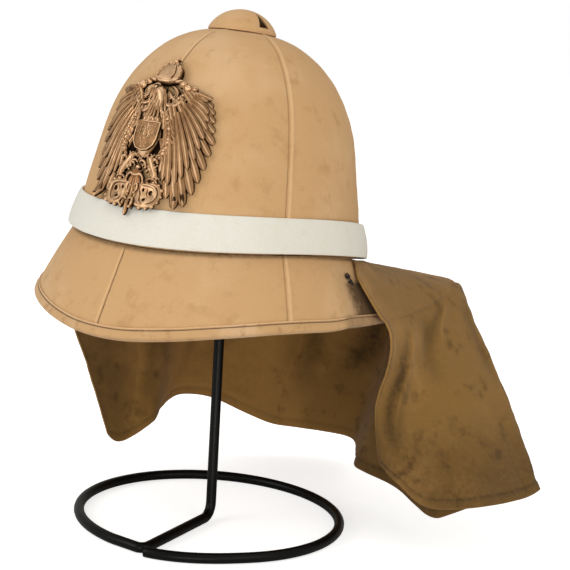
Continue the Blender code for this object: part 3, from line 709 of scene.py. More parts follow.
def close_to_ends(u):
    return (1 - math.cos(math.pi * u)) / 2


def cover(piece, node):
    """Gives a laid panel its thickness and finish, and returns its area."""
    area = area_of(piece)
    finish_with(piece, "SOLIDIFY", thickness=COVER_THICK, offset=-1)
    shade(piece, 60)
    hand_over(piece, KHAKI, "helmet_cloth", node)
    return area


print("seam relief at 0, 1 and 3 mm:", [round(seam_relief(d, 1, 0) * 1000, 2) for d in (0, 0.001, 0.003)])


# %% Crown panels
PANEL_FOOT, PANEL_RISE, PANEL_LENGTH = 0.006, 0.919, 0.22


def panel_row(v):
    """The height on the crown of one row of a panel, and the crown's radius there."""
    height = PANEL_FOOT + PANEL_RISE * v
    return height, max(crown_point(math.pi / 2, height).x, 0.02)


def crown_panel(k):
    a, b = math.radians(SEAMS[k]), math.radians(SEAMS[k + 1])

    def place(u, v):
        height, radius = panel_row(v)
        side = close_to_ends(u)
        t = a + (b - a) * side
        t += SEAM_GAP / radius * (1 - 2 * side)
        form = crown_point(t, height)
        span = (b - a) * radius
        relief = seam_relief(side * span, (1 - side) * span, form.z) + gentle(form, 26, DENT)
        return SEAT_MATRIX @ offset_point(crown_point, t, height, relief)

    def marks(u, v):
        span = (b - a) * panel_row(v)[1]
        side = close_to_ends(u)
        return seam_marks(k, side * span, (1 - side) * span, v * PANEL_LENGTH)
    width = (b - a) * CROWN_SIDE
    piece = lay_grid(f"crown_cloth_{k + 1}", 64, 60, place, SEAT_MATRIX @ CENTRE, (width, PANEL_LENGTH),
                     marks=marks)
    return cover(piece, f"crown_panel_{k + 1}")


print("crown panels, cm2:", [round(crown_panel(k) * 1e4) for k in range(6)])


# %% Brim panels
BRIM_RADIUS, BRIM_START, TUCK = 0.12, 0.0005, 0.0004
# Where the dark mark of stain and painted shadow lies, round the hook and beside the flap's edge.
HOOK_STAIN_AND_SHADE, EDGE_STAIN_AND_SHADOW, STAIN_AND_SHADOW_TOP = 92.8, 89.9, 0.36


def flap_edge_stain_and_shadow(angle, v):
    """A dark mark on the wearer's left: stain with painted shade round the hook, a painted shadow down beside
    the flap's front edge, and a faint broad darkening towards it.
    """
    hook = 0.9 * math.exp(-((angle - HOOK_STAIN_AND_SHADE) / 1.5) ** 2 - ((v - STAIN_AND_SHADOW_TOP) / 0.09) ** 2)
    beside = 1.3 * smooth_step((angle - EDGE_STAIN_AND_SHADOW) / 2.4) * smooth_step((v - STAIN_AND_SHADOW_TOP) / 0.14)
    broad = 0.22 * smooth_step((angle - 84) / 7) * smooth_step((v - 0.1) / 0.3)
    return max(hook, beside, broad)


def brim_panel(k):
    a, b = math.radians(SEAMS[k]), math.radians(SEAMS[k + 1])
    span = (b - a) * BRIM_RADIUS

    def place(u, v):
        side = close_to_ends(u)
        t = a + (b - a) * side
        t += SEAM_GAP / BRIM_RADIUS * (1 - 2 * side)
        length = brim_length(t)
        s = (BRIM_START + (length - HEM - GAP - BRIM_START) * v) / length
        form = brim_point(t, s)
        tuck = TUCK * smooth_step((v - 0.97) / 0.03)
        relief = seam_relief(side * span, (1 - side) * span, s * length) + gentle(form, 22, DENT) - tuck
        return SEAT_MATRIX @ offset_point(brim_point, t, s, relief)

    def marks(u, v):
        side = close_to_ends(u)
        rubbed_and_lit, soiled_and_shaded = seam_marks(k, side * span, (1 - side) * span, v * 0.06 + 1)
        # On this panel the hook and the flap's edge add stain and painted shadow.
        stain = flap_edge_stain_and_shadow(math.degrees(a + (b - a) * side), v) if k == 1 else 0
        # The dark strip along the brim's top, just under the band, is painted shade with some soil.
        return rubbed_and_lit, max(soiled_and_shaded, stain, 0.8 * smooth_step((0.075 - v) / 0.06))
    longest = max(brim_length(a + (b - a) * i / 8) for i in range(9))
    width = path_length([brim_point(a + (b - a) * i / 24, 1) for i in range(25)])
    inside = SEAT_MATRIX @ Vector((0, 0, -0.1))
    piece = lay_grid(f"brim_cloth_{k + 1}", 72, 48, place, inside, (width, longest), marks=marks)
    return cover(piece, f"brim_panel_{k + 1}")


print("brim panels, cm2:", [round(brim_panel(k) * 1e4) for k in range(6)])

# %% [markdown]
# ## The rolled rim
# At the rim the cloth is turned over the edge, and a dark stitched line holds it down. The roll is one
# closed section, drawn as a short table and swept once round the brim. It has a step at its upper edge and
# a groove under the stitches.

# %% Rim section
ROLL_STITCHED, ROLL_RUBBED = 6.2, 7.6
ROLL_SECTION = (
    (7.8, -0.6), (7.85, 0.05), (8.1, 0.22), (7.95, 0.7), (7.4, 0.85), (6.7, 0.5), (6.1, 0.25), (5.5, 0.5),
    (4.3, 0.95), (2.7, 1.1), (1.0, 0.85), (0.1, 0.0), (-0.3, -1.6), (-0.45, -4.0), (-0.2, -6.6), (0.7, -8.4),
    (2.6, -9.0), (5.2, -8.9), (7.3, -8.6), (7.5, -7.9), (4.8, -7.6), (1.9, -7.3), (1.0, -4.4), (1.7, -1.1),
    (4.7, -0.95),
)


def curve_between(p, f):
    """A share f of the way from the second to the third of four rows, on the smooth curve through them."""
    return [b + 0.5 * f * (c - a + f * (2 * a - 5 * b + 4 * c - d + f * (3 * (b - c) + d - a)))
            for a, b, c, d in zip(*p)]


def round_table(rows, w):
    """A smooth closed curve through all the rows of a table."""
    x = (w % 1.0) * len(rows)
    i = int(x)
    return curve_between([rows[(i + d) % len(rows)] for d in (-1, 0, 1, 2)], x - i)


def rim_place(t, inward, above):
    """A place by its distance in from the rim and its height above the brim's cloth, in metres."""
    on = offset_point(brim_point, t, 1 - max(inward, 0) / brim_length(t), above)
    return on + (brim_point(t, 1) - brim_point(t, 0.97)).normalized() * max(-inward, 0)


def roll_section(t, w):
    inward, above = round_table(ROLL_SECTION, w)
    swell = 1 + 0.22 * noise.noise(Vector((math.cos(t) * 7, math.sin(t) * 7, 2.0)))
    above = above * swell if above > 0 else above - 0.3 * (swell - 1)
    return rim_place(t, inward / 1000, above / 1000)


def roll_marks(u, w):
    """Soiled in the stitched groove and where the lower edge was handled, with painted shade on the roll beside
    the flap's front edge; rubbed beside the groove.
    """
    inward, above = round_table(ROLL_SECTION, w)
    t = 2 * math.pi * u
    groove = 0.85 * math.exp(-((inward - ROLL_STITCHED) / 0.45) ** 2) if above > 0 else 0
    patch = 0.5 + noise.noise(Vector((math.cos(t) * 9, math.sin(t) * 9, 5.0)))
    edge = 0.9 * smooth_step((-above - 4.5) / 3.5) * smooth_step(patch / 0.7) if inward < 3 else 0
    at = math.degrees(t) % 360
    # The underside is soiled from 68 to 101 degrees, and beside the flap's front edge the whole roll gets
    # painted shade.
    handled_and_shaded = 0.85 * hump(at, 68, 101, 14) * smooth_step((-above - 1.5) / 5) + 0.5 * hump(at, 84, 101, 5)
    edge = max(edge, min(handled_and_shaded, 0.95))
    rubbed_and_lit = 0.7 * math.exp(-((inward - ROLL_RUBBED) / 0.5) ** 2) if above > 0.4 else 0
    return rubbed_and_lit, max(groove, edge)


rim_roll = ring_section("rim_roll", roll_section, 75, 360, roll_marks)
shade(rim_roll, 50)
hand_over(rim_roll, KHAKI_RIM, "helmet_cloth", "rim_binding")
print("rim roll:", face_count(rim_roll), "faces")

# %% [markdown]
# ## Stitches
# One stitch is a squeezed little ball, made once. Its copies are laid along the rim's groove, each turned
# along the row, and joined into one piece.


# %% Rows of stitches
RIM_STITCH_IN, RIM_STITCH_UP, RIM_STITCH_PITCH, RIM_STEPS = 0.0062, 0.00035, 0.0023, 720


def copies(pattern, name, matrices):
    """Copies the pattern's mesh to every matrix, joins the copies and removes the pattern."""
    pieces = []
    for matrix in matrices:
        mesh = pattern.data.copy()
        mesh.transform(matrix)
        pieces.append(bpy.data.objects.new(name, mesh))
        bpy.context.collection.objects.link(pieces[-1])
    bpy.data.objects.remove(pattern)
    return join_all(pieces, name)


def one_stitch(length, width):
    stitch = add_shape(bpy.ops.mesh.primitive_uv_sphere_add, segments=6, ring_count=4, radius=0.5)
    all_edit((bpy.ops.transform.resize, {"value": (length, width, width * 0.7)}))
    return stitch


def along_path(points, normals, pitch):
    """Matrices at an even pitch along a line of points, with X along it and Z on the normal."""
    matrices, left = [], pitch / 2
    for a, b, normal in zip(points, points[1:], normals):
        step = (b - a).length
        while left < step:
            along = (b - a).normalized()
            across = normal.cross(along).normalized()
            matrix = Matrix((along, across, along.cross(across))).transposed().to_4x4()
            matrix.translation = a.lerp(b, left / step)
            matrices.append(matrix)
            left += pitch
        left -= step
    return matrices


def rim_stitch_line():
    """The row's points in the groove, with the cloth's normal at each."""
    angles = [2 * math.pi * i / RIM_STEPS for i in range(RIM_STEPS + 1)]
    points = [SEAT_MATRIX @ rim_place(t, RIM_STITCH_IN, RIM_STITCH_UP) for t in angles]
    raised = [SEAT_MATRIX @ rim_place(t, RIM_STITCH_IN, RIM_STITCH_UP + 0.001) for t in angles]
    return points, [(b - a).normalized() for a, b in zip(points, raised)]


rim_stitches = copies(one_stitch(0.0016, 0.0006), "rim_stitches",
                      along_path(*rim_stitch_line(), RIM_STITCH_PITCH))
shade(rim_stitches, 60)
hand_over(rim_stitches, THREAD, "helmet_cloth")
print("rim stitches:", face_count(rim_stitches), "faces")

# %% [markdown]
# ## The white band
# A folded strip of white cotton is drawn round the foot of the crown. It stands off a little more at its
# lower edge, so its outer face leans, and both edges are soft folds.

# %% Band
BAND_LOW, BAND_HIGH, BAND_WIDE, BAND_THICK = 0.0025, 0.0285, 0.027, 0.0020
BAND_FLARE, BAND_LOOSE = 0.0045, 0.0018


def band_place(u, v):
    t = 2 * math.pi * u
    z = BAND_LOW + (BAND_HIGH - BAND_LOW) * v
    height = math.asin(z / CROWN_HEIGHT) * 2 / math.pi
    stand_off = BAND_FLARE * (1 - v ** 1.32) + 0.0005 * math.sin(math.pi * v) + BAND_LOOSE * behind(t)
    ripple = 0.0005 * noise.noise(Vector((math.cos(t) * 5, math.sin(t) * 5, v * 1.5)))
    ripple += 0.0006 * (v - 0.5) * noise.noise(Vector((math.cos(t) * 9, math.sin(t) * 9, 4.0)))
    return SEAT_MATRIX @ offset_point(crown_point, t, height, GAP + BAND_THICK + stand_off + ripple)


BAND_ROUND = path_length([band_place(i / 96, 0) for i in range(97)])
band_cloth = lay_grid("band_cloth", 288, 16, band_place, SEAT_MATRIX @ CENTRE, (BAND_ROUND, BAND_WIDE),
                      closed=True)
finish_with(band_cloth, "SOLIDIFY", thickness=BAND_THICK, offset=-1)
round_edges(band_cloth, 0.0008, 3, 45)
shade(band_cloth, 50)
hand_over(band_cloth, WHITE, "band_cloth", "hat_band")
print("band, mm round:", round(BAND_ROUND * 1000))

# %% [markdown]
# ## The vent cap
# Air leaves the crown through a small cloth-covered dome on top, with a pointed opening on each side. The
# dome is a grid wrapped round and closed at its top. It gets a wall, and a three-sided bar cuts the two
# openings.

# %% Cap
CAP_RADIUS, CAP_HEIGHT, CAP_WALL, CAP_Y, CAP_FLAT = 0.0265, 0.0163, 0.0014, -0.003, (0.166, 0.035)
CAP_EDGE, CAP_SLOT_ANGLE = math.radians(22), math.radians(76)
CAP_SLOT_WIDTH, CAP_SLOT_HEIGHT, CAP_SLOT_UP, CAP_SLOT_LONG = 0.010, 0.012, 0.0028, 0.028


def crown_height_at(x, y):
    g = math.hypot(x / CROWN_SIDE, y / (CROWN_FRONT if y < 0 else CROWN_REAR))
    return CROWN_HEIGHT * (1 - g ** CROWN_ROUND) ** (1 / CROWN_POWER)


def cap_place(u, v):
    t = 2 * math.pi * u
    if v < 0.06:
        radius, rise = CAP_RADIUS, -0.08 * (1 - v / 0.06)
    else:
        a = CAP_EDGE + (math.pi / 2 - CAP_EDGE) * (v - 0.06) / 0.94
        radius = CAP_RADIUS * math.cos(a) / math.cos(CAP_EDGE)
        rise = (math.sin(a) - math.sin(CAP_EDGE)) / (1 - math.sin(CAP_EDGE))
    inner, top = CAP_RADIUS - CAP_WALL, CROWN_HEIGHT + CAP_HEIGHT
    base = crown_height_at(inner * math.sin(t), CAP_Y - inner * math.cos(t)) + GAP
    foot = base + 0.08 * (top - base)
    z = foot + (top - foot) * rise
    return SEAT_MATRIX @ Vector((radius * math.sin(t), CAP_Y - radius * math.cos(t), z))


def cap_slot(side):
    """A bar with its point up, which runs outward through the cap's wall."""
    bar = add_shape(bpy.ops.mesh.primitive_cone_add, vertices=3, radius1=1, radius2=1, depth=CAP_SLOT_LONG,
                    end_fill_type="NGON")
    bar.data.transform(Matrix.Rotation(math.radians(90), 4, "X"))
    low = min(p.co.z for p in bar.data.vertices)
    high = max(p.co.z for p in bar.data.vertices)
    wide = max(p.co.x for p in bar.data.vertices)
    for p in bar.data.vertices:
        rise = (p.co.z - low) / (high - low)
        p.co = (p.co.x * CAP_SLOT_WIDTH / 2 / wide, p.co.y - CAP_RADIUS,
                CROWN_HEIGHT + CAP_SLOT_UP + CAP_SLOT_HEIGHT * rise)
    place_in_world(bar, SEAT_MATRIX @ Matrix.Translation((0, CAP_Y, 0)) @
                   Matrix.Rotation(side * CAP_SLOT_ANGLE, 4, "Z"))
    return bar


cap_cloth = lay_grid("cap_cloth", 96, 34, cap_place, SEAT_MATRIX @ Vector((0, CAP_Y, CROWN_HEIGHT - 0.02)),
                     CAP_FLAT, closed=True)
finish_with(cap_cloth, "SOLIDIFY", thickness=CAP_WALL, offset=-1)
for side in (-1, 1):
    slot_bar = cap_slot(side)
    finish_with(cap_cloth, "BOOLEAN", operation="DIFFERENCE", solver="EXACT", object=slot_bar)
    bpy.data.objects.remove(slot_bar)
shade(cap_cloth, 40)
hand_over(cap_cloth, KHAKI, "helmet_cloth", "vent_cap")
print("cap:", face_count(cap_cloth), "faces")

# %% [markdown]
# ## The neck flap
# One wide piece of brown cotton is caught under the band, lies over the rear brim and hangs down all round
# the back. Its folds are drawn as a table of hanging lines, each with its places on the band, the rim and
# the hem. A fine net is laid through them, and small creases are pressed into it along its normals.

# %% Hanging lines
FLAP_THICK, FLAP_LIFT = 0.0015, 0.0022
FLAP_RISE, FLAP_RISE_AT, FLAP_RISE_WIDTH = 0.0056, 133, 16
FLAP_SWAY_LEFT, FLAP_SWAY_RIGHT, FLAP_SWAY_WIDTH = 0.009, 0.0035, 0.14
FLAP_LINES = (
    (104, 93.8, 7, 126, 44, 64, -4), (107, 99.5, 8, 145, 41, 52, -3), (111, 106, 9, 168, 46, 37, 2),
    (114, 112, 13, 197, 72, 37.5, 6), (118, 117, 18, 216, 121, 38.5, 5), (123, 122, 19, 219.5, 142, 43, 5),
    (127, 126, 17, 196, 136, 35, 0), (131, 130, 11, 166, 99, 19, 0), (136, 135, 8, 146, 96, 13, 0),
    (141, 141, 7, 101, 122, 21, 0), (147, 147, 7, 62, 138, 22, 0), (153, 153, 7, 44, 150, 22, 0),
    (160, 160, 7, 28, 180, 21, 0), (169, 169, 7, -4, 228, 22, 4), (178, 178, 7, -45, 212, 25, 4),
    (188, 188, 7, -69, 193, 28, 4), (199, 199, 7, -90, 176, 38, 4), (211, 211, 7, -108, 146, 54, 4),
    (222, 223, 7, -120, 114, 59, 4), (232, 236, 6, -116, 85, 54, 4), (241, 248, 5, -105, 56, 46, 3),
    (250, 261, 5, -114.5, 26.5, 32.5, 3), (258, 276, 5, -119.4, 14.4, 41.3, 2.5),
)
ON_BRIM, BRIM_ROWS, HANGING_ROWS = 0.3, (0.05, 0.36, 0.68, 0.96), (0.12, 0.34, 0.56, 0.78, 1.0)


def smooth_table(rows, u):
    """Reads a table of rows at u from 0 to 1 along it, as a smooth curve through all of its rows."""
    x = min(max(u, 0.0), 1.0) * (len(rows) - 1)
    i = min(int(x), len(rows) - 2)
    return curve_between([rows[min(max(i + d, 0), len(rows) - 1)] for d in (-1, 0, 1, 2)], x - i)


def flap_line(u):
    """Ten places of one hanging line: four on the brim, one past the rim and five down to the hem."""
    t_band, t_rim, stand_off, x, y, z, bow = smooth_table(FLAP_LINES, u)
    rise = FLAP_RISE * math.exp(-((t_rim - FLAP_RISE_AT) / FLAP_RISE_WIDTH) ** 2)
    t_band, t_rim = math.radians(t_band), math.radians(t_rim)
    points = []
    for s in BRIM_ROWS:
        t = t_band + (t_rim - t_band) * (s if t_rim > t_band else smooth_step(s / 0.42))
        lift = FLAP_LIFT * (0.6 + 0.4 * smooth_step(s / 0.3)) + (stand_off / 2200 + rise) * s ** 2
        points.append(SEAT_MATRIX @ offset_point(brim_point, t, s, lift + 0.005 * abs(t_band - t_rim)))
    edge = SEAT_MATRIX @ brim_point(t_rim, 1.0)
    level = edge - SEAT_MATRIX @ brim_point(t_rim, 0.9)
    level = Vector((level.x, level.y, 0)).normalized()
    start = edge + level * stand_off / 1000 + Vector((0, 0, stand_off / 2200 + rise * 1.2 - 0.002))
    hem = Vector((x, y, z)) / 1000
    points.append(start)
    sway = FLAP_SWAY_LEFT * (1 - smooth_step(u / FLAP_SWAY_WIDTH))
    sway += FLAP_SWAY_RIGHT * (1 - smooth_step((1 - u) / FLAP_SWAY_WIDTH))
    for f in HANGING_ROWS:
        out = bow / 1000 * math.sin(math.pi * f) + sway * math.sin(2 * math.pi * f) * (1 - f)
        points.append(start.lerp(hem, f) + level * out)
    return points


FLAP_ACROSS, FLAP_ALONG = 260, 120
flap_lines = [flap_line(i / FLAP_ACROSS) for i in range(FLAP_ACROSS + 1)]


def flap_place(u, v):
    line = flap_lines[round(u * FLAP_ACROSS)]
    x = v / ON_BRIM * 4 if v < ON_BRIM else 4 + (v - ON_BRIM) / (1 - ON_BRIM) * 5
    return Vector(smooth_table(line, x / 9))


print("longest hanging line, mm:", round(max((a[-1] - a[4]).length for a in flap_lines) * 1000))


# %% Creases and hem
FLAP_FLAT, STITCH_IN, FLAP_STITCH_PITCH = (0.92, 0.29), 0.0078, 0.0032
HEM_WIDE, HEM_THICKER, HEM_GROOVE = 0.0095, 0.0007, 0.0005
FLAP_FOLDS = (
    (0.058, 0.046, 0.36, 0.86, 0.0026, 0.0085), (0.085, 0.110, 0.33, 0.62, -0.0018, 0.012),
    (0.150, 0.120, 0.30, 0.50, 0.0016, 0.012), (0.190, 0.210, 0.34, 0.70, -0.0014, 0.014),
    (0.680, 0.690, 0.34, 0.95, 0.0024, 0.014), (0.780, 0.800, 0.34, 0.95, -0.0024, 0.016),
    (0.860, 0.850, 0.34, 0.95, 0.0022, 0.012), (0.930, 0.940, 0.36, 0.98, 0.0020, 0.010),
)


def folds_at(u, v):
    """For each fold at this height: its strength, the way across from its line, its height and its width."""
    for at_top, at_foot, top, foot, height, wide in FLAP_FOLDS:
        along = (v - top) / (foot - top)
        if 0 < along < 1:
            middle = at_top + (at_foot - at_top) * along + 0.004 * math.sin(along * 7)
            yield math.sin(math.pi * along), u - middle, height, wide


def flap_crease(u, v, place):
    """How far the cloth is pushed out: a few soft folds that run down it, broad slack and a fine crumple."""
    free = smooth_step((v - 0.24) / 0.25)
    out = 0.0009 * noise.noise(place * 15) + 0.0007 * noise.noise(Vector((u * 24, v * 3.0, 1.7)))
    for strength, away, height, wide in folds_at(u, v):
        out += height * strength ** 0.7 * math.exp(-(away / wide) ** 2)
    crumple = 0.0007 * noise.noise(place * 75) + 0.00035 * noise.noise(place * 160)
    crumple += 0.0006 * max(0.32 - abs(noise.noise(place * 34)), 0) / 0.32
    return free * out + (0.25 + 0.75 * free) * crumple


def flap_marks(u, v):
    """Pale on worn edges and the hem, with painted highlight on fold crests and a painted pool of light inside
    the far rear; painted shade beside the crests, in the hollows, over the middle of the rear and at the far
    end; darker along the stitched line, towards the bottom of the near half and near the near front edge.
    """
    edge = min(u * FLAP_FLAT[0], (1 - u) * FLAP_FLAT[0], (1 - v) * 0.2)
    rubbed_and_lit = 0.75 * math.exp(-(edge / 0.0016) ** 2)
    soiled_and_shaded = 0.30 * math.exp(-((edge - STITCH_IN) / 0.0012) ** 2)
    # Darker towards the bottom of the near half.
    soiled_and_shaded += 0.55 * smooth_step((v - 0.66) / 0.26) * (1 - smooth_step((u - 0.45) / 0.1))
    # Fold crests get a painted highlight with painted shade beside them; hollow folds get painted shade.
    for strength, away, height, wide in folds_at(u, v):
        if height > 0:
            rubbed_and_lit += 0.55 * strength * math.exp(-(away / 0.0022) ** 2)
            soiled_and_shaded += 0.45 * strength * math.exp(-((away + wide * 1.5) / wide) ** 2)
        else:
            soiled_and_shaded += 0.40 * strength * math.exp(-(away / wide) ** 2)
    # A painted pool of light on the inside of the far rear, where the lamps reach little.
    rubbed_and_lit += 0.95 * hump(u, 0.68, 0.90, 0.05) * smooth_step((v - 0.12) / 0.25)
    # Painted shade over the middle of the rear, where the brim shades the inside.
    soiled_and_shaded += 0.85 * hump(u, 0.56, 0.65, 0.045) * hump(v, 0.34, 0.82, 0.16)
    # Painted shade at the far end, where the cloth turns away from the light.
    soiled_and_shaded += 0.30 * smooth_step((u - 0.93) / 0.04)
    soiled_and_shaded += 0.36 * hump(u, 0.008, 0.07, 0.03) * hump(v, 0.42, 0.9, 0.1)
    return min(rubbed_and_lit, 1), min(soiled_and_shaded, 0.9)


def hem_relief(edge):
    """A turned hem, thicker than the cloth, with a groove where it is stitched."""
    step = HEM_THICKER * smooth_step((HEM_WIDE - edge) / 0.0008)
    groove = HEM_GROOVE * math.exp(-((edge - STITCH_IN) / 0.0007) ** 2)
    return step - groove


print("folds of the flap:", len(FLAP_FOLDS))


# %% Flap
def press_in(piece, net):
    """Moves each point along its normal by the creases and the hem, which need the finished form."""
    low = {u: p.co.copy() for (u, v), p in zip(net, piece.data.vertices) if v == 1}
    first = {v: p.co.copy() for (u, v), p in zip(net, piece.data.vertices) if u == 0}
    last = {v: p.co.copy() for (u, v), p in zip(net, piece.data.vertices) if u == 1}
    normals = [p.normal.copy() for p in piece.data.vertices]
    for (u, v), point, normal in zip(net, piece.data.vertices, normals):
        edge = (point.co - low[u]).length
        if v > 0.02:
            edge = min(edge, (point.co - first[v]).length, (point.co - last[v]).length)
        point.co += normal * (flap_crease(u, v, point.co.copy()) + hem_relief(edge))


flap_net = []


def flap_place_kept(u, v):
    flap_net.append((u, v))
    return flap_place(u, v)


flap_cloth = lay_grid("flap_cloth", FLAP_ACROSS, FLAP_ALONG, flap_place_kept, Vector((-0.013, 0.05, 0.05)),
                      FLAP_FLAT, marks=flap_marks)
finish_with(flap_cloth, "SMOOTH", factor=0.5, iterations=14)
press_in(flap_cloth, flap_net)
FLAP_NET = [p.co.copy() for p in flap_cloth.data.vertices]
FLAP_NORMALS = [p.normal.copy() for p in flap_cloth.data.vertices]
finish_with(flap_cloth, "SOLIDIFY", thickness=FLAP_THICK * 0.8, offset=0)
shade(flap_cloth, 60)
hand_over(flap_cloth, BROWN, "flap_cloth", "neck_flap")


# %% Flap stitches
def net_index(column, row):
    return row * (FLAP_ACROSS + 1) + column


def stitched(spots, lift):
    """Places a little above the flap's outer face, with the normals there."""
    normals = [FLAP_NORMALS[net_index(*spot)] for spot in spots]
    return [FLAP_NET[net_index(*spot)] + n * lift for spot, n in zip(spots, normals)], normals


hem_spots = [(i, FLAP_ALONG - 4) for i in range(4, FLAP_ACROSS - 3)]
left_spots = [(2, j) for j in range(8, FLAP_ALONG - 3)]
right_spots = [(FLAP_ACROSS - 2, j) for j in range(8, FLAP_ALONG - 3)]
stitch_places = []
for spots in (hem_spots, left_spots, right_spots):
    stitch_places += along_path(*stitched(spots, FLAP_THICK * 0.4 + 0.0001), FLAP_STITCH_PITCH)
flap_stitches = copies(one_stitch(0.0021, 0.0005), "flap_stitches", stitch_places)
shade(flap_stitches, 60)
hand_over(flap_stitches, BROWN_THREAD, "flap_cloth")
print("flap stitches:", len(stitch_places))

# %% [markdown]
# ## The stand
# It is one length of round wire, bent from a post into a spoke and an open ring. A curve with a round bevel
# follows the bends, and is made a mesh at the end. A flattened ball on top of the post carries the crown.

# %% Wire
WIRE, RING_RADIUS, RING_START = 0.008, 0.104, math.radians(-82)
RING_START_OUT, RING_OPENING, RING_BEND, RING_STEPS, RING_GAP = 0.0015, 0.0068, 0.006, 240, math.radians(2)
POST_BASE, BEND_RADIUS = (0.0037, -0.0045), 0.011
HEAD_RADIUS, HEAD_THICK, HEAD_PLACE = 0.026, 0.012, (-0.0024, -0.0071, 0.1469)


def ring_radius(f):
    return RING_RADIUS + RING_START_OUT * math.exp(-f * 12) + RING_OPENING * smooth_step((f - 0.88) / 0.12)


def bend(corner, back, ahead, radius, steps):
    """Points of a rounded corner between the directions back and ahead from it."""
    half = back.angle(ahead) / 2
    reach = radius / math.tan(half)
    centre = corner + (back + ahead).normalized() * (radius / math.sin(half))
    a, b = corner + back * reach - centre, corner + ahead * reach - centre
    angle = a.angle(b)
    return [centre + (a * math.sin((1 - s) * angle) + b * math.sin(s * angle)) / math.sin(angle)
            for s in (i / steps for i in range(steps + 1))]


def stand_route():
    low = WIRE / 2 + 0.0001
    base = Vector((*POST_BASE, low))
    top = SEAT_MATRIX @ Vector(HEAD_PLACE) - Vector((0, 0, 0.0009))
    first = Vector((math.cos(RING_START), math.sin(RING_START), 0)) * ring_radius(0)
    first.z = low
    up, out = (top - base).normalized(), (first - base).normalized()
    turn = Vector((math.sin(RING_START), -math.cos(RING_START), 0))
    points = [top] + bend(base, up, out, BEND_RADIUS, 18) + bend(first, -out, turn, RING_BEND, 12)
    for i in range(11, RING_STEPS + 1):
        f = i / RING_STEPS
        a = RING_START - f * (2 * math.pi - RING_GAP)
        points.append(Vector((ring_radius(f) * math.cos(a), ring_radius(f) * math.sin(a), low)))
    return points


def wire_piece(name, points, thick, sides=3):
    """A round wire along a line of points, turned into a closed mesh."""
    piece = add_shape(bpy.ops.curve.primitive_nurbs_path_add)
    piece.name = name
    piece.data.splines.clear()
    spline = piece.data.splines.new("POLY")
    spline.points.add(len(points) - 1)
    for point, place in zip(spline.points, points):
        point.co = (*place, 1)
    piece.data.dimensions = "3D"
    piece.data.bevel_depth = thick / 2
    piece.data.bevel_resolution = sides
    piece.data.use_fill_caps = True
    bpy.ops.object.convert(target="MESH")
    weld(0.000005)
    return piece


wire_stand = wire_piece("wire_stand", stand_route(), WIRE, 8)
round_edges(wire_stand, 0.0005, 2, 60)
shade(wire_stand, 40)
hand_over(wire_stand, BLACK_PAINT, "stand_metal", "stand_wire")
print("wire:", face_count(wire_stand), "faces")

# %% Rest on the post
stand_rest = add_shape(bpy.ops.mesh.primitive_uv_sphere_add, segments=64, ring_count=32, radius=HEAD_RADIUS)
stand_rest.name = "stand_rest"
for p in stand_rest.data.vertices:
    p.co.z = HEAD_THICK * (max(p.co.z, 0.0) / HEAD_RADIUS) ** 0.9
weld(0.00002)
place_in_world(stand_rest, SEAT_MATRIX @ Matrix.Translation(HEAD_PLACE))
round_edges(stand_rest, 0.0008, 2, 50)
shade(stand_rest, 40)
hand_over(stand_rest, BLACK_PAINT, "stand_pad", "stand_head")
print("rest:", face_count(stand_rest), "faces")

# %% [markdown]
# ## The hooks
# A small blackened wire hook holds each front corner of the flap. It is bent from one wire and sewn down with
# dark thread through its two eyes. Here each bend is a short curve with a round bevel, and the parts are joined.

# %% Hooks
HOOK_ANGLES = {"left": 92.4, "right": -90}
HOOK_DOWN, HOOK_WIRE, HOOK_THREAD, LOOP_STEPS = 0.0195, 0.0009, 0.0006, 20


def hook_matrix(angle):
    t = math.radians(angle)
    length = brim_length(t)
    foot = offset_point(brim_point, t, HOOK_DOWN / length, 0.0009)
    down = (brim_point(t, 0.5) - brim_point(t, 0.1)).normalized()
    normal = (foot - brim_point(t, HOOK_DOWN / length)).normalized()
    across = down.cross(normal)
    return SEAT_MATRIX @ Matrix.Translation(foot) @ Matrix((across, down, normal)).transposed().to_4x4()


def loop(centre, radius, start, end, rise=0.0):
    """Points of an arc between two angles in degrees."""
    x, y = centre
    angles = [math.radians(start + (end - start) * i / LOOP_STEPS) for i in range(LOOP_STEPS + 1)]
    return [Vector((x + radius * math.cos(a), y + radius * math.sin(a), rise)) for a in angles]


def flap_hook(side):
    """A wire with two eyes that runs down and turns back as a hook, with four turns of thread."""
    parts = []
    eye = loop((-0.0012, -0.0034), 0.0014, 0, 330)
    other = loop((0.0014, -0.0034), 0.0014, 180, -150)
    shank = [Vector((0.0001, -0.0020, 0.0006)), Vector((0.0001, 0.0010, 0.0011)), Vector((0, 0.0034, 0.0015))]
    nose = loop((0.0, 0.0036), 0.0013, 180, -60, rise=0.0013)
    for k, path in enumerate((eye, other, shank, nose)):
        parts.append(wire_piece(f"hook_part_{k}", path, HOOK_WIRE))
    for k, y in enumerate((-0.0024, -0.0016, 0.0012, 0.0021)):
        turn = [Vector((0.0019 * math.cos(a), y + 0.0003 * math.sin(2 * a), 0.0016 * max(math.sin(a), -0.2)))
                for a in [math.radians(12 * i) for i in range(31)]]
        parts.append(wire_piece(f"hook_thread_{k}", turn, HOOK_THREAD))
    piece = join_all(parts, f"hook_{side}")
    place_in_world(piece, hook_matrix(HOOK_ANGLES[side]))
    shade(piece, 50)
    hand_over(piece, BLACK_IRON, "hook_metal", f"flap_hook_{side}")
    return face_count(piece)


print("hooks:", [flap_hook(side) for side in HOOK_ANGLES], "faces")

# %% [markdown]
# ## The badge
# The spread eagle is one casting in low relief. It is drawn flat, in millimetres, x across and y up the
# front seam, and laid on the crown at the end. Three patterns do most of it: a grooved feather, a plain
# round bar and a pearl. Each is made once, and its copies are bent along short paths. An attribute keeps
# how high each point lies in its own form, so the finish can darken the hollows: tarnish and painted shade.


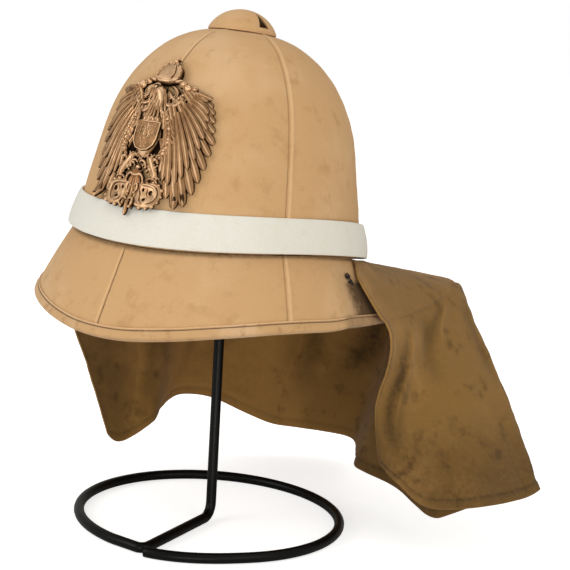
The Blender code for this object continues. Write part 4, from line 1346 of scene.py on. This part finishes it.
# %% Three patterns
def keep_relief(piece, height):
    """Stores height(place) on every point, 0 in the hollows and 1 on the crests."""
    attribute = piece.data.attributes.new("relief", "FLOAT", "POINT")
    attribute.data.foreach_set("value", [height(p.co) for p in piece.data.vertices])


def round_bar(name, across, along, width_at, top_at, relief_at):
    """A pattern one unit long and wide, flat below, with its height given over its length and width."""
    pattern = add_shape(bpy.ops.mesh.primitive_grid_add, x_subdivisions=across, y_subdivisions=along, size=2)
    pattern.name = name
    for p in pattern.data.vertices:
        p.co.z = top_at(p.co.x, (p.co.y + 1) / 2)
        p.co.y = (p.co.y + 1) / 2
    keep_relief(pattern, lambda c: relief_at(c.x))
    for p in pattern.data.vertices:
        p.co.x *= width_at(p.co.y) / 2
    bpy.ops.object.mode_set(mode="EDIT")
    bpy.ops.mesh.select_all(action="SELECT")
    bpy.ops.mesh.region_to_loop()
    bpy.ops.mesh.extrude_region_move(TRANSFORM_OT_translate={"value": (0, 0, -0.4)})
    bpy.ops.mesh.edge_face_add()
    bpy.ops.mesh.select_all(action="SELECT")
    bpy.ops.mesh.normals_make_consistent(inside=False)
    bpy.ops.object.mode_set(mode="OBJECT")
    return pattern


def leaf_width(y):
    """Narrow at the root, widest past the middle, rounded off at the tip."""
    tip = max(1 - ((y - 0.80) / 0.2) ** 2, 0.02) if y > 0.80 else 1
    return (0.72 + 0.28 * smooth_step(y / 0.6)) * tip ** 0.5


def vane(x, y):
    return max(1 - x * x, 0) ** 0.5 * (0.90 + 0.10 * math.cos(3 * math.pi * x)) * (1 - 0.35 * smooth_step(y))


def vane_relief(x):
    return max(1 - x * x, 0) ** 0.7 * (0.78 + 0.22 * math.cos(3 * math.pi * x))


def bar_width(y):
    return max(1 - (2 * y - 1) ** 8, 0.05) ** 0.5


def bar_top(x, y):
    return max(1 - x * x, 0) ** 0.5 * max(1 - (2 * y - 1) ** 8, 0.1) ** 0.5


FEATHER_PATTERN = round_bar("feather_pattern", 12, 14, leaf_width, vane, vane_relief)
BAR_PATTERN = round_bar("bar_pattern", 8, 14, bar_width, bar_top, lambda x: max(1 - x * x, 0) ** 0.8)
PEARL_PATTERN = add_shape(bpy.ops.mesh.primitive_uv_sphere_add, segments=12, ring_count=8, radius=1)
for p in PEARL_PATTERN.data.vertices:
    p.co.z = max(p.co.z, -0.3)
keep_relief(PEARL_PATTERN, lambda c: min(max(c.z * 1.4, 0), 1))
print("patterns:", face_count(FEATHER_PATTERN), face_count(BAR_PATTERN), face_count(PEARL_PATTERN), "faces")

# %% Laying a pattern along a path
CAST = []


def keep_cast(mesh):
    piece = bpy.data.objects.new("cast", mesh)
    bpy.context.collection.objects.link(piece)
    CAST.append(piece)


def path_at(path, s):
    here = Vector(smooth_table(path, s))
    ahead = Vector(smooth_table(path, min(s + 0.01, 1))) - Vector(smooth_table(path, max(s - 0.01, 0)))
    return here, ahead.normalized()


def lay(pattern, path, widths, heights, base=0.0, mirror=1):
    """Bends a copy of the pattern along a path, with its width and height read along the way."""
    mesh = pattern.data.copy()
    for p in mesh.vertices:
        here, ahead = path_at(path, min(max(p.co.y, 0), 1))
        wide = smooth_table([(w,) for w in widths], p.co.y)[0]
        high = smooth_table([(h,) for h in heights], p.co.y)[0]
        x, y = here.x - ahead.y * p.co.x * wide, here.y + ahead.x * p.co.x * wide
        z = base + p.co.z * high if p.co.z >= 0 else base - 0.6
        p.co = (x * mirror, y, z)
    if mirror < 0:
        mesh.flip_normals()
    keep_cast(mesh)


def pearl(x, y, radius, height, base):
    mesh = PEARL_PATTERN.data.copy()
    mesh.transform(Matrix.Translation((x, y, base)) @ Matrix.Diagonal((radius, radius, height, 1)))
    keep_cast(mesh)


def plate(outline, low, high, edge, crest, holes=()):
    """A flat plate with a rounded upper edge, from its outline, cut through at the oval holes."""
    piece = add_shape(bpy.ops.mesh.primitive_circle_add, vertices=len(outline), radius=1, fill_type="NGON")
    for p, (x, y) in zip(piece.data.vertices, outline):
        p.co = (x, y, high)
    if piece.data.polygons[0].normal.z < 0:
        all_edit((bpy.ops.mesh.flip_normals, {}))
    finish_with(piece, "SOLIDIFY", thickness=high - low, offset=-1)
    round_edges(piece, edge, 3, 50)
    for x, y, wide, tall in holes:
        bpy.ops.mesh.primitive_cylinder_add(vertices=14, radius=1, depth=12, location=(x, y, 0))
        punch = bpy.context.object
        punch.data.transform(Matrix.Diagonal((wide, tall, 1, 1)))
        finish_with(piece, "BOOLEAN", operation="DIFFERENCE", solver="EXACT", object=punch)
        bpy.data.objects.remove(punch)
    keep_relief(piece, lambda c: smooth_step((c.z - low) / (high - low)) * crest)
    keep_cast(piece.data)
    bpy.data.objects.remove(piece)


def round_outline(points, count=48):
    return [tuple(round_table(points, i / count)) for i in range(count)]


print("ready to lay")

# %% Wings
FEATHERS = (
    ((25, 113), (41, 107), 5), ((25, 110), (44, 102), 5), ((24, 107), (46, 96), 5.5),
    ((24, 104), (48, 88.5), 5.5), ((23, 101), (50, 80), 6), ((22, 98), (49.5, 71), 6),
    ((21, 95), (48.4, 61), 6.5), ((20, 92), (46.8, 51), 6.5), ((18, 90), (44.4, 42), 7),
    ((16, 88), (41, 32.5), 7.2), ((14, 85), (35.5, 30), 7.5), ((12, 80), (27, 38), 7),
)
WING_WEB = ((10, 66), (24, 56), (38, 58), (43, 76), (42, 92), (36, 105), (28, 115), (19, 112), (10, 92))
WING_ARM = ((10, 97), (14, 107), (21, 115), (29, 115))
SECOND_ROOTS = ((26, 112), (22, 106), (18, 98), (13, 88))
SECOND_TIPS = ((37.5, 106), (41, 99), (42.5, 90), (42, 79), (40, 67), (36, 56), (31, 48), (24, 48), (18, 56))


def share_line(a, b, s, bow=0.0):
    """A point between two, pushed sideways by bow."""
    x, y = a[0] + (b[0] - a[0]) * s, a[1] + (b[1] - a[1]) * s
    d = math.hypot(b[0] - a[0], b[1] - a[1])
    push = bow * 4 * s * (1 - s)
    return x - (b[1] - a[1]) / d * push, y + (b[0] - a[0]) / d * push


for side in (-1, 1):
    # The web behind the feathers has a low crest, so it is painted dark as shade between them.
    plate(round_outline([(x * side, y) for x, y in WING_WEB]), -0.6, 1.2, 0.5, crest=0.1)
    for i, (root, tip, wide) in enumerate(FEATHERS):
        path = [share_line(root, tip, s, 1.6) for s in (0, 0.33, 0.66, 1)]
        rise = 2.5 + 0.7 * (i * 2 % 3)
        widths = [wide * share for share in (0.8, 0.95, 0.98)]
        lay(FEATHER_PATTERN, path, widths, (rise, rise, rise * 0.7), 0.1, side)
    for i in range(13):
        s = i / 12
        root, far = smooth_table(SECOND_ROOTS, s), smooth_table(SECOND_TIPS, s)
        path = [share_line(root, far, k, 1.0) for k in (0, 0.33, 0.66, 1)]
        lay(FEATHER_PATTERN, path, (3.2, 4.6, 4.6), (2.4, 2.8, 1.7), 1.7 + 0.5 * (i * 2 % 3), side)
    for row, (reach, lift) in enumerate(((11.0, 3.1), (7.0, 3.7), (3.8, 4.3))):
        for i in range(11):
            here = smooth_table(WING_ARM, 0.03 + 0.94 * i / 10)
            turn = math.radians(-14 - 66 * (1 - i / 10) - 5 * (i % 2))
            end = (here[0] + reach * math.cos(turn), here[1] + reach * math.sin(turn))
            path = [share_line(here, end, k) for k in (0, 0.5, 1)]
            lay(FEATHER_PATTERN, path, (3.2, 3.8, 3.4), (1.6, 1.9, 1.1), lift, side)
    lay(BAR_PATTERN, WING_ARM, (3.0, 4.0, 4.2, 2.6), (4.0, 4.3, 4.3, 3.0), 0.6, side)
    for x, y, radius, high in ((19.5, 118.5, 3.3, 5.8), (14.5, 121.5, 2.3, 4.8), (24.5, 118.2, 2.0, 4.6)):
        pearl(x * side, y, radius, high, 0.4)
        lay(BAR_PATTERN, [(x + radius * math.cos(a), y + radius * math.sin(a)) for a in
                          [math.radians(30 * k) for k in range(12)]], (1.1, 1.1), (2.2, 2.2), 1.6, side)
print("wing pieces:", len(CAST))

# %% Body, shield and chain
SHIELD = ((-9.0, 91.2), (-3, 91.0), (3, 91.0), (9.0, 91.2), (9.4, 85), (9.0, 77.5), (6.2, 71.8), (0, 69.8),
          (-6.2, 71.8), (-9.0, 77.5), (-9.4, 85))
GARLAND = ((11.5, 97), (15.5, 90), (18.5, 81), (17.5, 71), (12.5, 62.5))
lay(BAR_PATTERN, ((0, 64), (0, 78), (0, 94), (0, 108), (0, 117)), (12, 22, 24, 19, 12),
    (3.4, 3.8, 4.2, 4.6, 4.6))
for row in range(6):
    for k in range(-3, 4):
        x = k * 3.7 + (1.8 if row % 2 else 0)
        y = 115 - row * 5.4
        if abs(x) < 10.5:
            path = ((x * 0.85, y), (x, y - 4.5), (x * 1.08, y - 9.5))
            lay(FEATHER_PATTERN, path, (3.2, 3.9, 3.3), (1.2, 1.5, 1.0), 3.6 - 0.02 * x * x)
plate(round_outline(SHIELD, 66), 2.6, 4.7, 0.4, crest=0.5)
lay(BAR_PATTERN, [tuple(p) for p in SHIELD + SHIELD[:1]], (1.4, 1.4, 1.4), (1.2, 1.2), 4.2)
for row in range(6):
    for k in range(-3, 4):
        x, y = k * 2.3 + (1.1 if row % 2 else 0), 87.6 - row * 2.9
        if abs(x) < 7.2 - max(row - 2, 0) * 1.7:
            a = 2.4 * row + 1.1 * k
            path = ((x, y), (x + 1.5 * math.cos(a), y + 1.5 * math.sin(a)))
            lay(BAR_PATTERN, path, (0.9, 1.2), (0.7, 0.5), 4.4)
for side in (-1, 1):
    lay(BAR_PATTERN, GARLAND, (2.6, 4.6, 5.6, 5.0, 2.6), (2.6, 3.0, 3.2, 3.0, 2.6), 1.2, side)
    for i in range(10):
        x, y = smooth_table(GARLAND, 0.04 + 0.92 * i / 9)
        wide = 1.6 + 1.6 * math.sin(math.pi * (i + 0.5) / 10)
        for way in (-1, 1):
            leaf = ((x, y + 1.6), (x + way * wide * 0.7, y), (x + way * wide * 1.2, y - 2.4))
            lay(FEATHER_PATTERN, leaf, (1.8, 2.6, 2.0), (1.8, 2.2, 1.4), 3.2, side)
        pearl(x * side, y + 0.6, 0.8 + 0.5 * (i % 2), 1.4, 4.4)
for x, y, size in ((0, 63.8, 1.8), (5.2, 60.4, 1.5), (9.8, 57.0, 1.7), (13.6, 58.6, 1.3), (4.4, 66.4, 1.2),
                   (9.4, 66.2, 1.3)):
    for side in (-1, 1):
        pearl(x * side, y, size, 2.6, 1.6)
        for turn in range(4 if x or side > 0 else 0):
            a = math.radians(45 + 90 * turn)
            path = ((x, y), (x + 2.1 * size * math.cos(a), y + 2.1 * size * math.sin(a)))
            lay(BAR_PATTERN, path, (0.8, 1.7), (1.8, 1.6), 1.6, side)
print("with the body:", len(CAST))

# %% Head, mantling and crown
NECK = ((2, 100), (3, 107), (0.5, 113.5), (-4, 116))
BEAK = ((-3.4, 116.6), (-7.6, 116.8), (-10.8, 114.8), (-10.8, 111.2))
lay(BAR_PATTERN, NECK, (13, 10.5, 9.5, 8), (4.6, 5.0, 5.6, 5.4), 0.8)
lay(BAR_PATTERN, BEAK, (5.0, 4.2, 2.9, 1.2), (4.6, 4.0, 3.2, 2.0), 1.2)
lay(BAR_PATTERN, ((-4, 112.6), (-7.2, 112.4), (-9.4, 110.2)), (2.2, 1.8, 0.9), (3.0, 2.6, 2.0), 1.0)
pearl(-3.2, 116.6, 0.9, 1.0, 6.0)
lay(BAR_PATTERN, ((-0.5, 118.2), (-3.0, 118.8), (-5.8, 118.0)), (1.0, 1.4, 0.7), (1.0, 1.3, 0.8), 5.6)
for row in range(5):
    for k in range(5):
        x0, y0 = smooth_table(NECK, 0.95 - row * 0.22)
        x = x0 - 4.2 + 2.1 * k
        lay(FEATHER_PATTERN, ((x, y0 + 1.5), (x + 0.5 * (k - 2), y0 - 2.5), (x + 1.2 * (k - 2), y0 - 6.5)),
            (2.0, 2.5, 2.0), (1.1, 1.3, 0.8), 4.9 - 0.4 * abs(k - 2))
LEAVES = (
    ((6, 119.5), (10, 118), (13, 114.5), (12.5, 110.5), (9.5, 110)),
    ((7, 115), (10, 111), (14.5, 109.5), (17.5, 112.5)),
    ((5, 108), (8.5, 104.6), (12.5, 104.2), (14.5, 107.4), (12, 109)),
    ((4, 103), (7, 99), (11, 98), (14, 100.4)),
    ((8, 122), (12.5, 123.4), (16, 122)),
    ((13, 103), (16.5, 105), (19.5, 109), (22.5, 110)),
)
for side in (-1, 1):
    for k, path in enumerate(LEAVES):
        lay(BAR_PATTERN, path, (1.6, 2.9, 3.0, 2.0, 0.8), (2.4, 3.2, 3.0, 2.2, 1.4), 1.0 + 0.3 * k, side)
        lay(BAR_PATTERN, [share_line(a, b, 0.5, 0.4) for a, b in zip(path, path[1:])], (0.5, 0.8, 0.5),
            (0.8, 0.9, 0.7), 3.7 + 0.25 * k, side)
        pearl(path[-1][0] * side, path[-1][1], 1.1, 3.0, 1.0)
CROWN_BULB = ((-7.6, 123), (-8.8, 127.5), (-8.0, 132.4), (-5.0, 136.4), (0, 138.4), (5.0, 136.4),
              (8.0, 132.4), (8.8, 127.5), (7.6, 123))
CROWN_ARCH = ((3.6, 124), (4.6, 129), (3.2, 134), (0, 138))
plate(round_outline(CROWN_BULB), 0.4, 4.6, 2.4, crest=0.9)
for k in (-1, 1):
    path = ((8.0 * k, 123.6), (9.0 * k, 128.4), (7.0 * k, 134.2), (0, 139))
    lay(BAR_PATTERN, path, (2.4, 2.6, 2.2, 1.8), (4.6, 4.8, 4.4, 4.2), 0.6)
    for s in (0.2, 0.4, 0.6, 0.8):
        x, y = smooth_table(path, s)
        pearl(x, y, 0.75, 0.8, 4.9)
lay(BAR_PATTERN, CROWN_ARCH, (1.6, 2.0, 1.8, 1.4), (2.0, 2.2, 2.0, 1.4), 3.8)
for s in (0.15, 0.38, 0.6, 0.82):
    x, y = smooth_table(CROWN_ARCH, s)
    pearl(x, y, 0.8, 0.8, 5.6)
lay(BAR_PATTERN, ((-8.4, 124), (-4, 122.6), (0, 122.2), (4, 122.6), (8.4, 124)), (4.0, 4.4, 4.4, 4.4, 4.0),
    (4.4, 5.2, 5.4, 5.2, 4.4), 0.6)
for k in range(-3, 4):
    pearl(2.5 * k, 122.3 + 0.026 * k * k, 0.8, 0.7, 5.2)
pearl(0, 139.6, 1.9, 4.4, 0.8)
lay(BAR_PATTERN, ((0, 140.5), (0, 143.6)), (1.3, 1.7), (3.0, 2.4), 0.8)
lay(BAR_PATTERN, ((-1.8, 142.2), (1.8, 142.2)), (1.3, 1.3), (2.6, 2.6), 0.8)
print("with the crown:", len(CAST))

# %% Legs and tail
LEG = ((7, 67), (11, 60), (14.5, 53.5), (13.5, 48.5))
DISC = ((23.4, 38), (22.2, 44), (17, 47.4), (11, 47), (5.4, 44.4), (3.6, 37), (5.2, 30.6), (11, 28.4),
        (17.4, 29), (22, 32.4))
DISC_HOLES = ((15.5, 40.0, 1.7, 1.9), (12.0, 34.6, 1.4, 1.3), (9.2, 41.6, 1.1, 1.4))
for side in (-1, 1):
    lay(BAR_PATTERN, LEG, (5.5, 5.0, 3.6, 2.4), (3.6, 3.8, 3.4, 2.8), 0.4, side)
    for i in range(5):
        x, y = smooth_table(LEG, 0.05 + 0.14 * i)
        for off in (-1.5, 1.5):
            path = ((x + off, y + 1), (x + off * 1.1 + 0.8, y - 2.5), (x + off * 1.1 + 1.4, y - 5.5))
            lay(FEATHER_PATTERN, path, (1.8, 2.2, 1.8), (1.2, 1.3, 0.8), 3.0 - 0.2 * abs(off), side)
    for tip in ((19.5, 50.5), (18.5, 46.5), (9.6, 47.5)):
        bow = 1.0 if tip[0] > 13 else -1.0
        path = [share_line((13.5, 50), tip, s, bow) for s in (0, 0.4, 0.8, 1)]
        lay(BAR_PATTERN, path, (1.8, 2.0, 1.5, 0.7), (3.2, 3.6, 2.6, 1.6), 0.6, side)
    plate(round_outline([(x * side, y) for x, y in DISC]), -0.3, 2.6, 1.0, crest=0.8,
          holes=[(x * side, y, a, b) for x, y, a, b in DISC_HOLES])
    for k in range(13):
        x, y = round_table(DISC, k / 13)
        if x > 6:
            pearl(x * side, y, 1.7 if k % 2 else 1.3, 2.9, 0.2)
    lay(BAR_PATTERN, ((5, 46), (8.5, 45.4), (13, 45.2), (18, 43.6), (20, 39), (18.4, 34), (14.4, 31.4)),
        (1.6, 2.2, 2.4, 2.8, 2.8, 2.4, 1.2), (1.6, 2.0, 2.0, 2.2, 2.2, 1.8, 1.4), 2.0, side)
    lay(BAR_PATTERN, ((12.6, 43), (12.0, 39.4), (13.0, 37.2), (16, 36.4)), (1.2, 1.8, 1.8, 1.0),
        (1.4, 1.8, 1.8, 1.4), 2.0, side)
    lay(BAR_PATTERN, ((5.2, 42), (7.2, 37.4), (8.6, 33), (12, 31)), (1.6, 2.4, 2.2, 1.0),
        (1.8, 2.2, 2.0, 1.4), 2.0, side)
    for k in range(3):
        path = ((1.2 + 0.8 * k, 55), (2.4 + 1.1 * k, 44), (3.6 + 2.6 * k, 31.5 - 0.6 * k))
        lay(FEATHER_PATTERN, path, (2.2, 3.0, 3.0), (3.2, 3.6, 2.8), 1.2 - 0.3 * k, side)
TAIL = ((((0, 56), (0, 40), (0, 21.5)), 4.6), (((-1, 54), (-2.8, 40), (-4.4, 26.5)), 3.8),
        (((1, 54), (2.8, 40), (4.4, 26.5)), 3.8))
for path, wide in TAIL:
    lay(FEATHER_PATTERN, path, (wide * 0.5, wide * 0.8, wide * 0.8), (3.4, 3.6, 2.6), 0.9)
SCROLLS = (
    ((0.5, 60.5), (3, 62.4), (6, 60.6), (6.4, 57.6)), ((0.5, 50.5), (3.4, 52.6), (6.4, 50.4), (7.4, 46.6)),
    ((1, 43), (3.6, 45.4), (4.4, 41.4), (2.6, 38.6)), ((0.5, 33), (3.6, 34.6), (5.4, 31), (3.6, 28)),
)
for side in (-1, 1):
    for path in SCROLLS:
        lay(BAR_PATTERN, path, (1.4, 2.2, 2.0, 1.2), (2.0, 2.4, 2.2, 1.6), 2.6, side)
        pearl(path[-1][0] * side, path[-1][1], 1.1, 2.0, 2.6)
lay(BAR_PATTERN, ((-4.5, 52.4), (0, 51.4), (4.5, 52.4)), (2.6, 3.2, 2.6), (3.4, 4.0, 3.4), 1.2)
pearl(0, 57.5, 2.0, 3.4, 1.2)
print("all pieces of the badge:", len(CAST))

# %% Joining the casting and laying it on the crown
BADGE_LIFT, BADGE_OVER_BAND, BADGE_BAND_TOP = 0.0020, 0.0036, 38
BADGE_LEAN, BADGE_HANGS_FROM = 0.021, 138
ARC_STEPS, ARC_TOP = 60, 0.93
ARC_HEIGHTS = [ARC_TOP * i / ARC_STEPS for i in range(ARC_STEPS + 1)]
ARC = [0.0]
for a, b in zip(ARC_HEIGHTS, ARC_HEIGHTS[1:]):
    ARC.append(ARC[-1] + (crown_point(0, b) - crown_point(0, a)).length)


def badge_place(x, y, z):
    """A place of the flat badge, in millimetres, laid on the crown's front."""
    i = next((k for k in range(ARC_STEPS) if ARC[k + 1] >= y / 1000), ARC_STEPS - 1)
    v = ARC_HEIGHTS[i] + (ARC_HEIGHTS[i + 1] - ARC_HEIGHTS[i]) * (y / 1000 - ARC[i]) / (ARC[i + 1] - ARC[i])
    around = (crown_point(0.01, v) - crown_point(0, v)).length / 0.01
    lift = BADGE_LIFT + BADGE_OVER_BAND * smooth_step((BADGE_BAND_TOP - y) / 8)
    x += BADGE_LEAN * (y - BADGE_HANGS_FROM)
    return SEAT_MATRIX @ offset_point(crown_point, x / 1000 / around, v, lift + z / 1000)


for pattern in (FEATHER_PATTERN, BAR_PATTERN, PEARL_PATTERN):
    bpy.data.objects.remove(pattern)
badge_relief = join_all(CAST, "badge_relief")
for p in badge_relief.data.vertices:
    p.co = badge_place(*p.co)
badge_relief.data.update()
shade(badge_relief, 45)
hand_over(badge_relief, GILT, "badge_metal", "eagle_badge")
print("badge:", sum(len(f.vertices) - 2 for f in badge_relief.data.polygons), "triangles")

# %% [markdown]
# ## Floor and light
# The helmet was photographed on a white ground in soft studio light. A grey world, white to the camera,
# gives light from all round. One broad lamp at the upper left models the forms and a weaker, warmer one on
# the right keeps the shaded side clear. A low one at the front right reaches under the brim to the inside
# of the flap, and a weak one overhead lifts the top.

# %% Floor, world and lamps
FLOOR_SIZE, FLOOR_GLOW, WORLD_LIGHT = 60, 0.7, (0.455, 0.45, 0.43)
LAMPS_AIM = Vector((0, 0.02, 0.22))


def white_to_camera(tree, light, socket):
    """White where the camera looks, and this light for everything else."""
    seen = add_node(tree, "ShaderNodeLightPath").outputs["Is Camera Ray"]
    tree.links.new(mix_colours(tree, seen, (*light, 1), (1, 1, 1, 1)), socket)


floor = add_shape(bpy.ops.mesh.primitive_plane_add, size=FLOOR_SIZE)
floor.name = "studio_floor"
floor_material, floor_tree, floor_shader = new_material("white_paper", 0.9)
floor_shader.inputs["Base Color"].default_value = (0.88, 0.88, 0.88, 1)
floor_shader.inputs["Specular IOR Level"].default_value = 0.1
white_to_camera(floor_tree, (0, 0, 0), floor_shader.inputs["Emission Color"])
floor_shader.inputs["Emission Strength"].default_value = FLOOR_GLOW
floor.data.materials.append(floor_material)

world = bpy.data.worlds.new("studio_world")
world.use_nodes = True
backdrop = world.node_tree.nodes["Background"]
backdrop.inputs["Strength"].default_value = 1.0
white_to_camera(world.node_tree, WORLD_LIGHT, backdrop.inputs["Color"])
bpy.context.scene.world = world


def studio_lamp(name, place, size, power, colour=(1, 1, 1)):
    bpy.ops.object.light_add(type="AREA", location=place)
    lamp = bpy.context.object
    lamp.name = name
    lamp.data.shape = "RECTANGLE"
    lamp.data.size, lamp.data.size_y = size
    lamp.data.energy = power
    lamp.data.color = colour
    lamp.rotation_euler = (LAMPS_AIM - Vector(place)).to_track_quat("-Z", "Y").to_euler()


studio_lamp("key_lamp", (-1.1, -1.8, 1.1), (1.2, 1.2), 15, (0.98, 0.985, 1.0))
studio_lamp("side_lamp", (1.9, -0.6, 0.9), (1.0, 1.4), 7, (1.0, 0.93, 0.82))
studio_lamp("low_lamp", (1.2, -1.7, 0.08), (1.2, 0.3), 13, (1.0, 0.97, 0.92))
studio_lamp("top_lamp", (0.0, 0.2, 2.0), (1.6, 1.6), 8)
bpy.context.scene.view_settings.view_transform = "Standard"
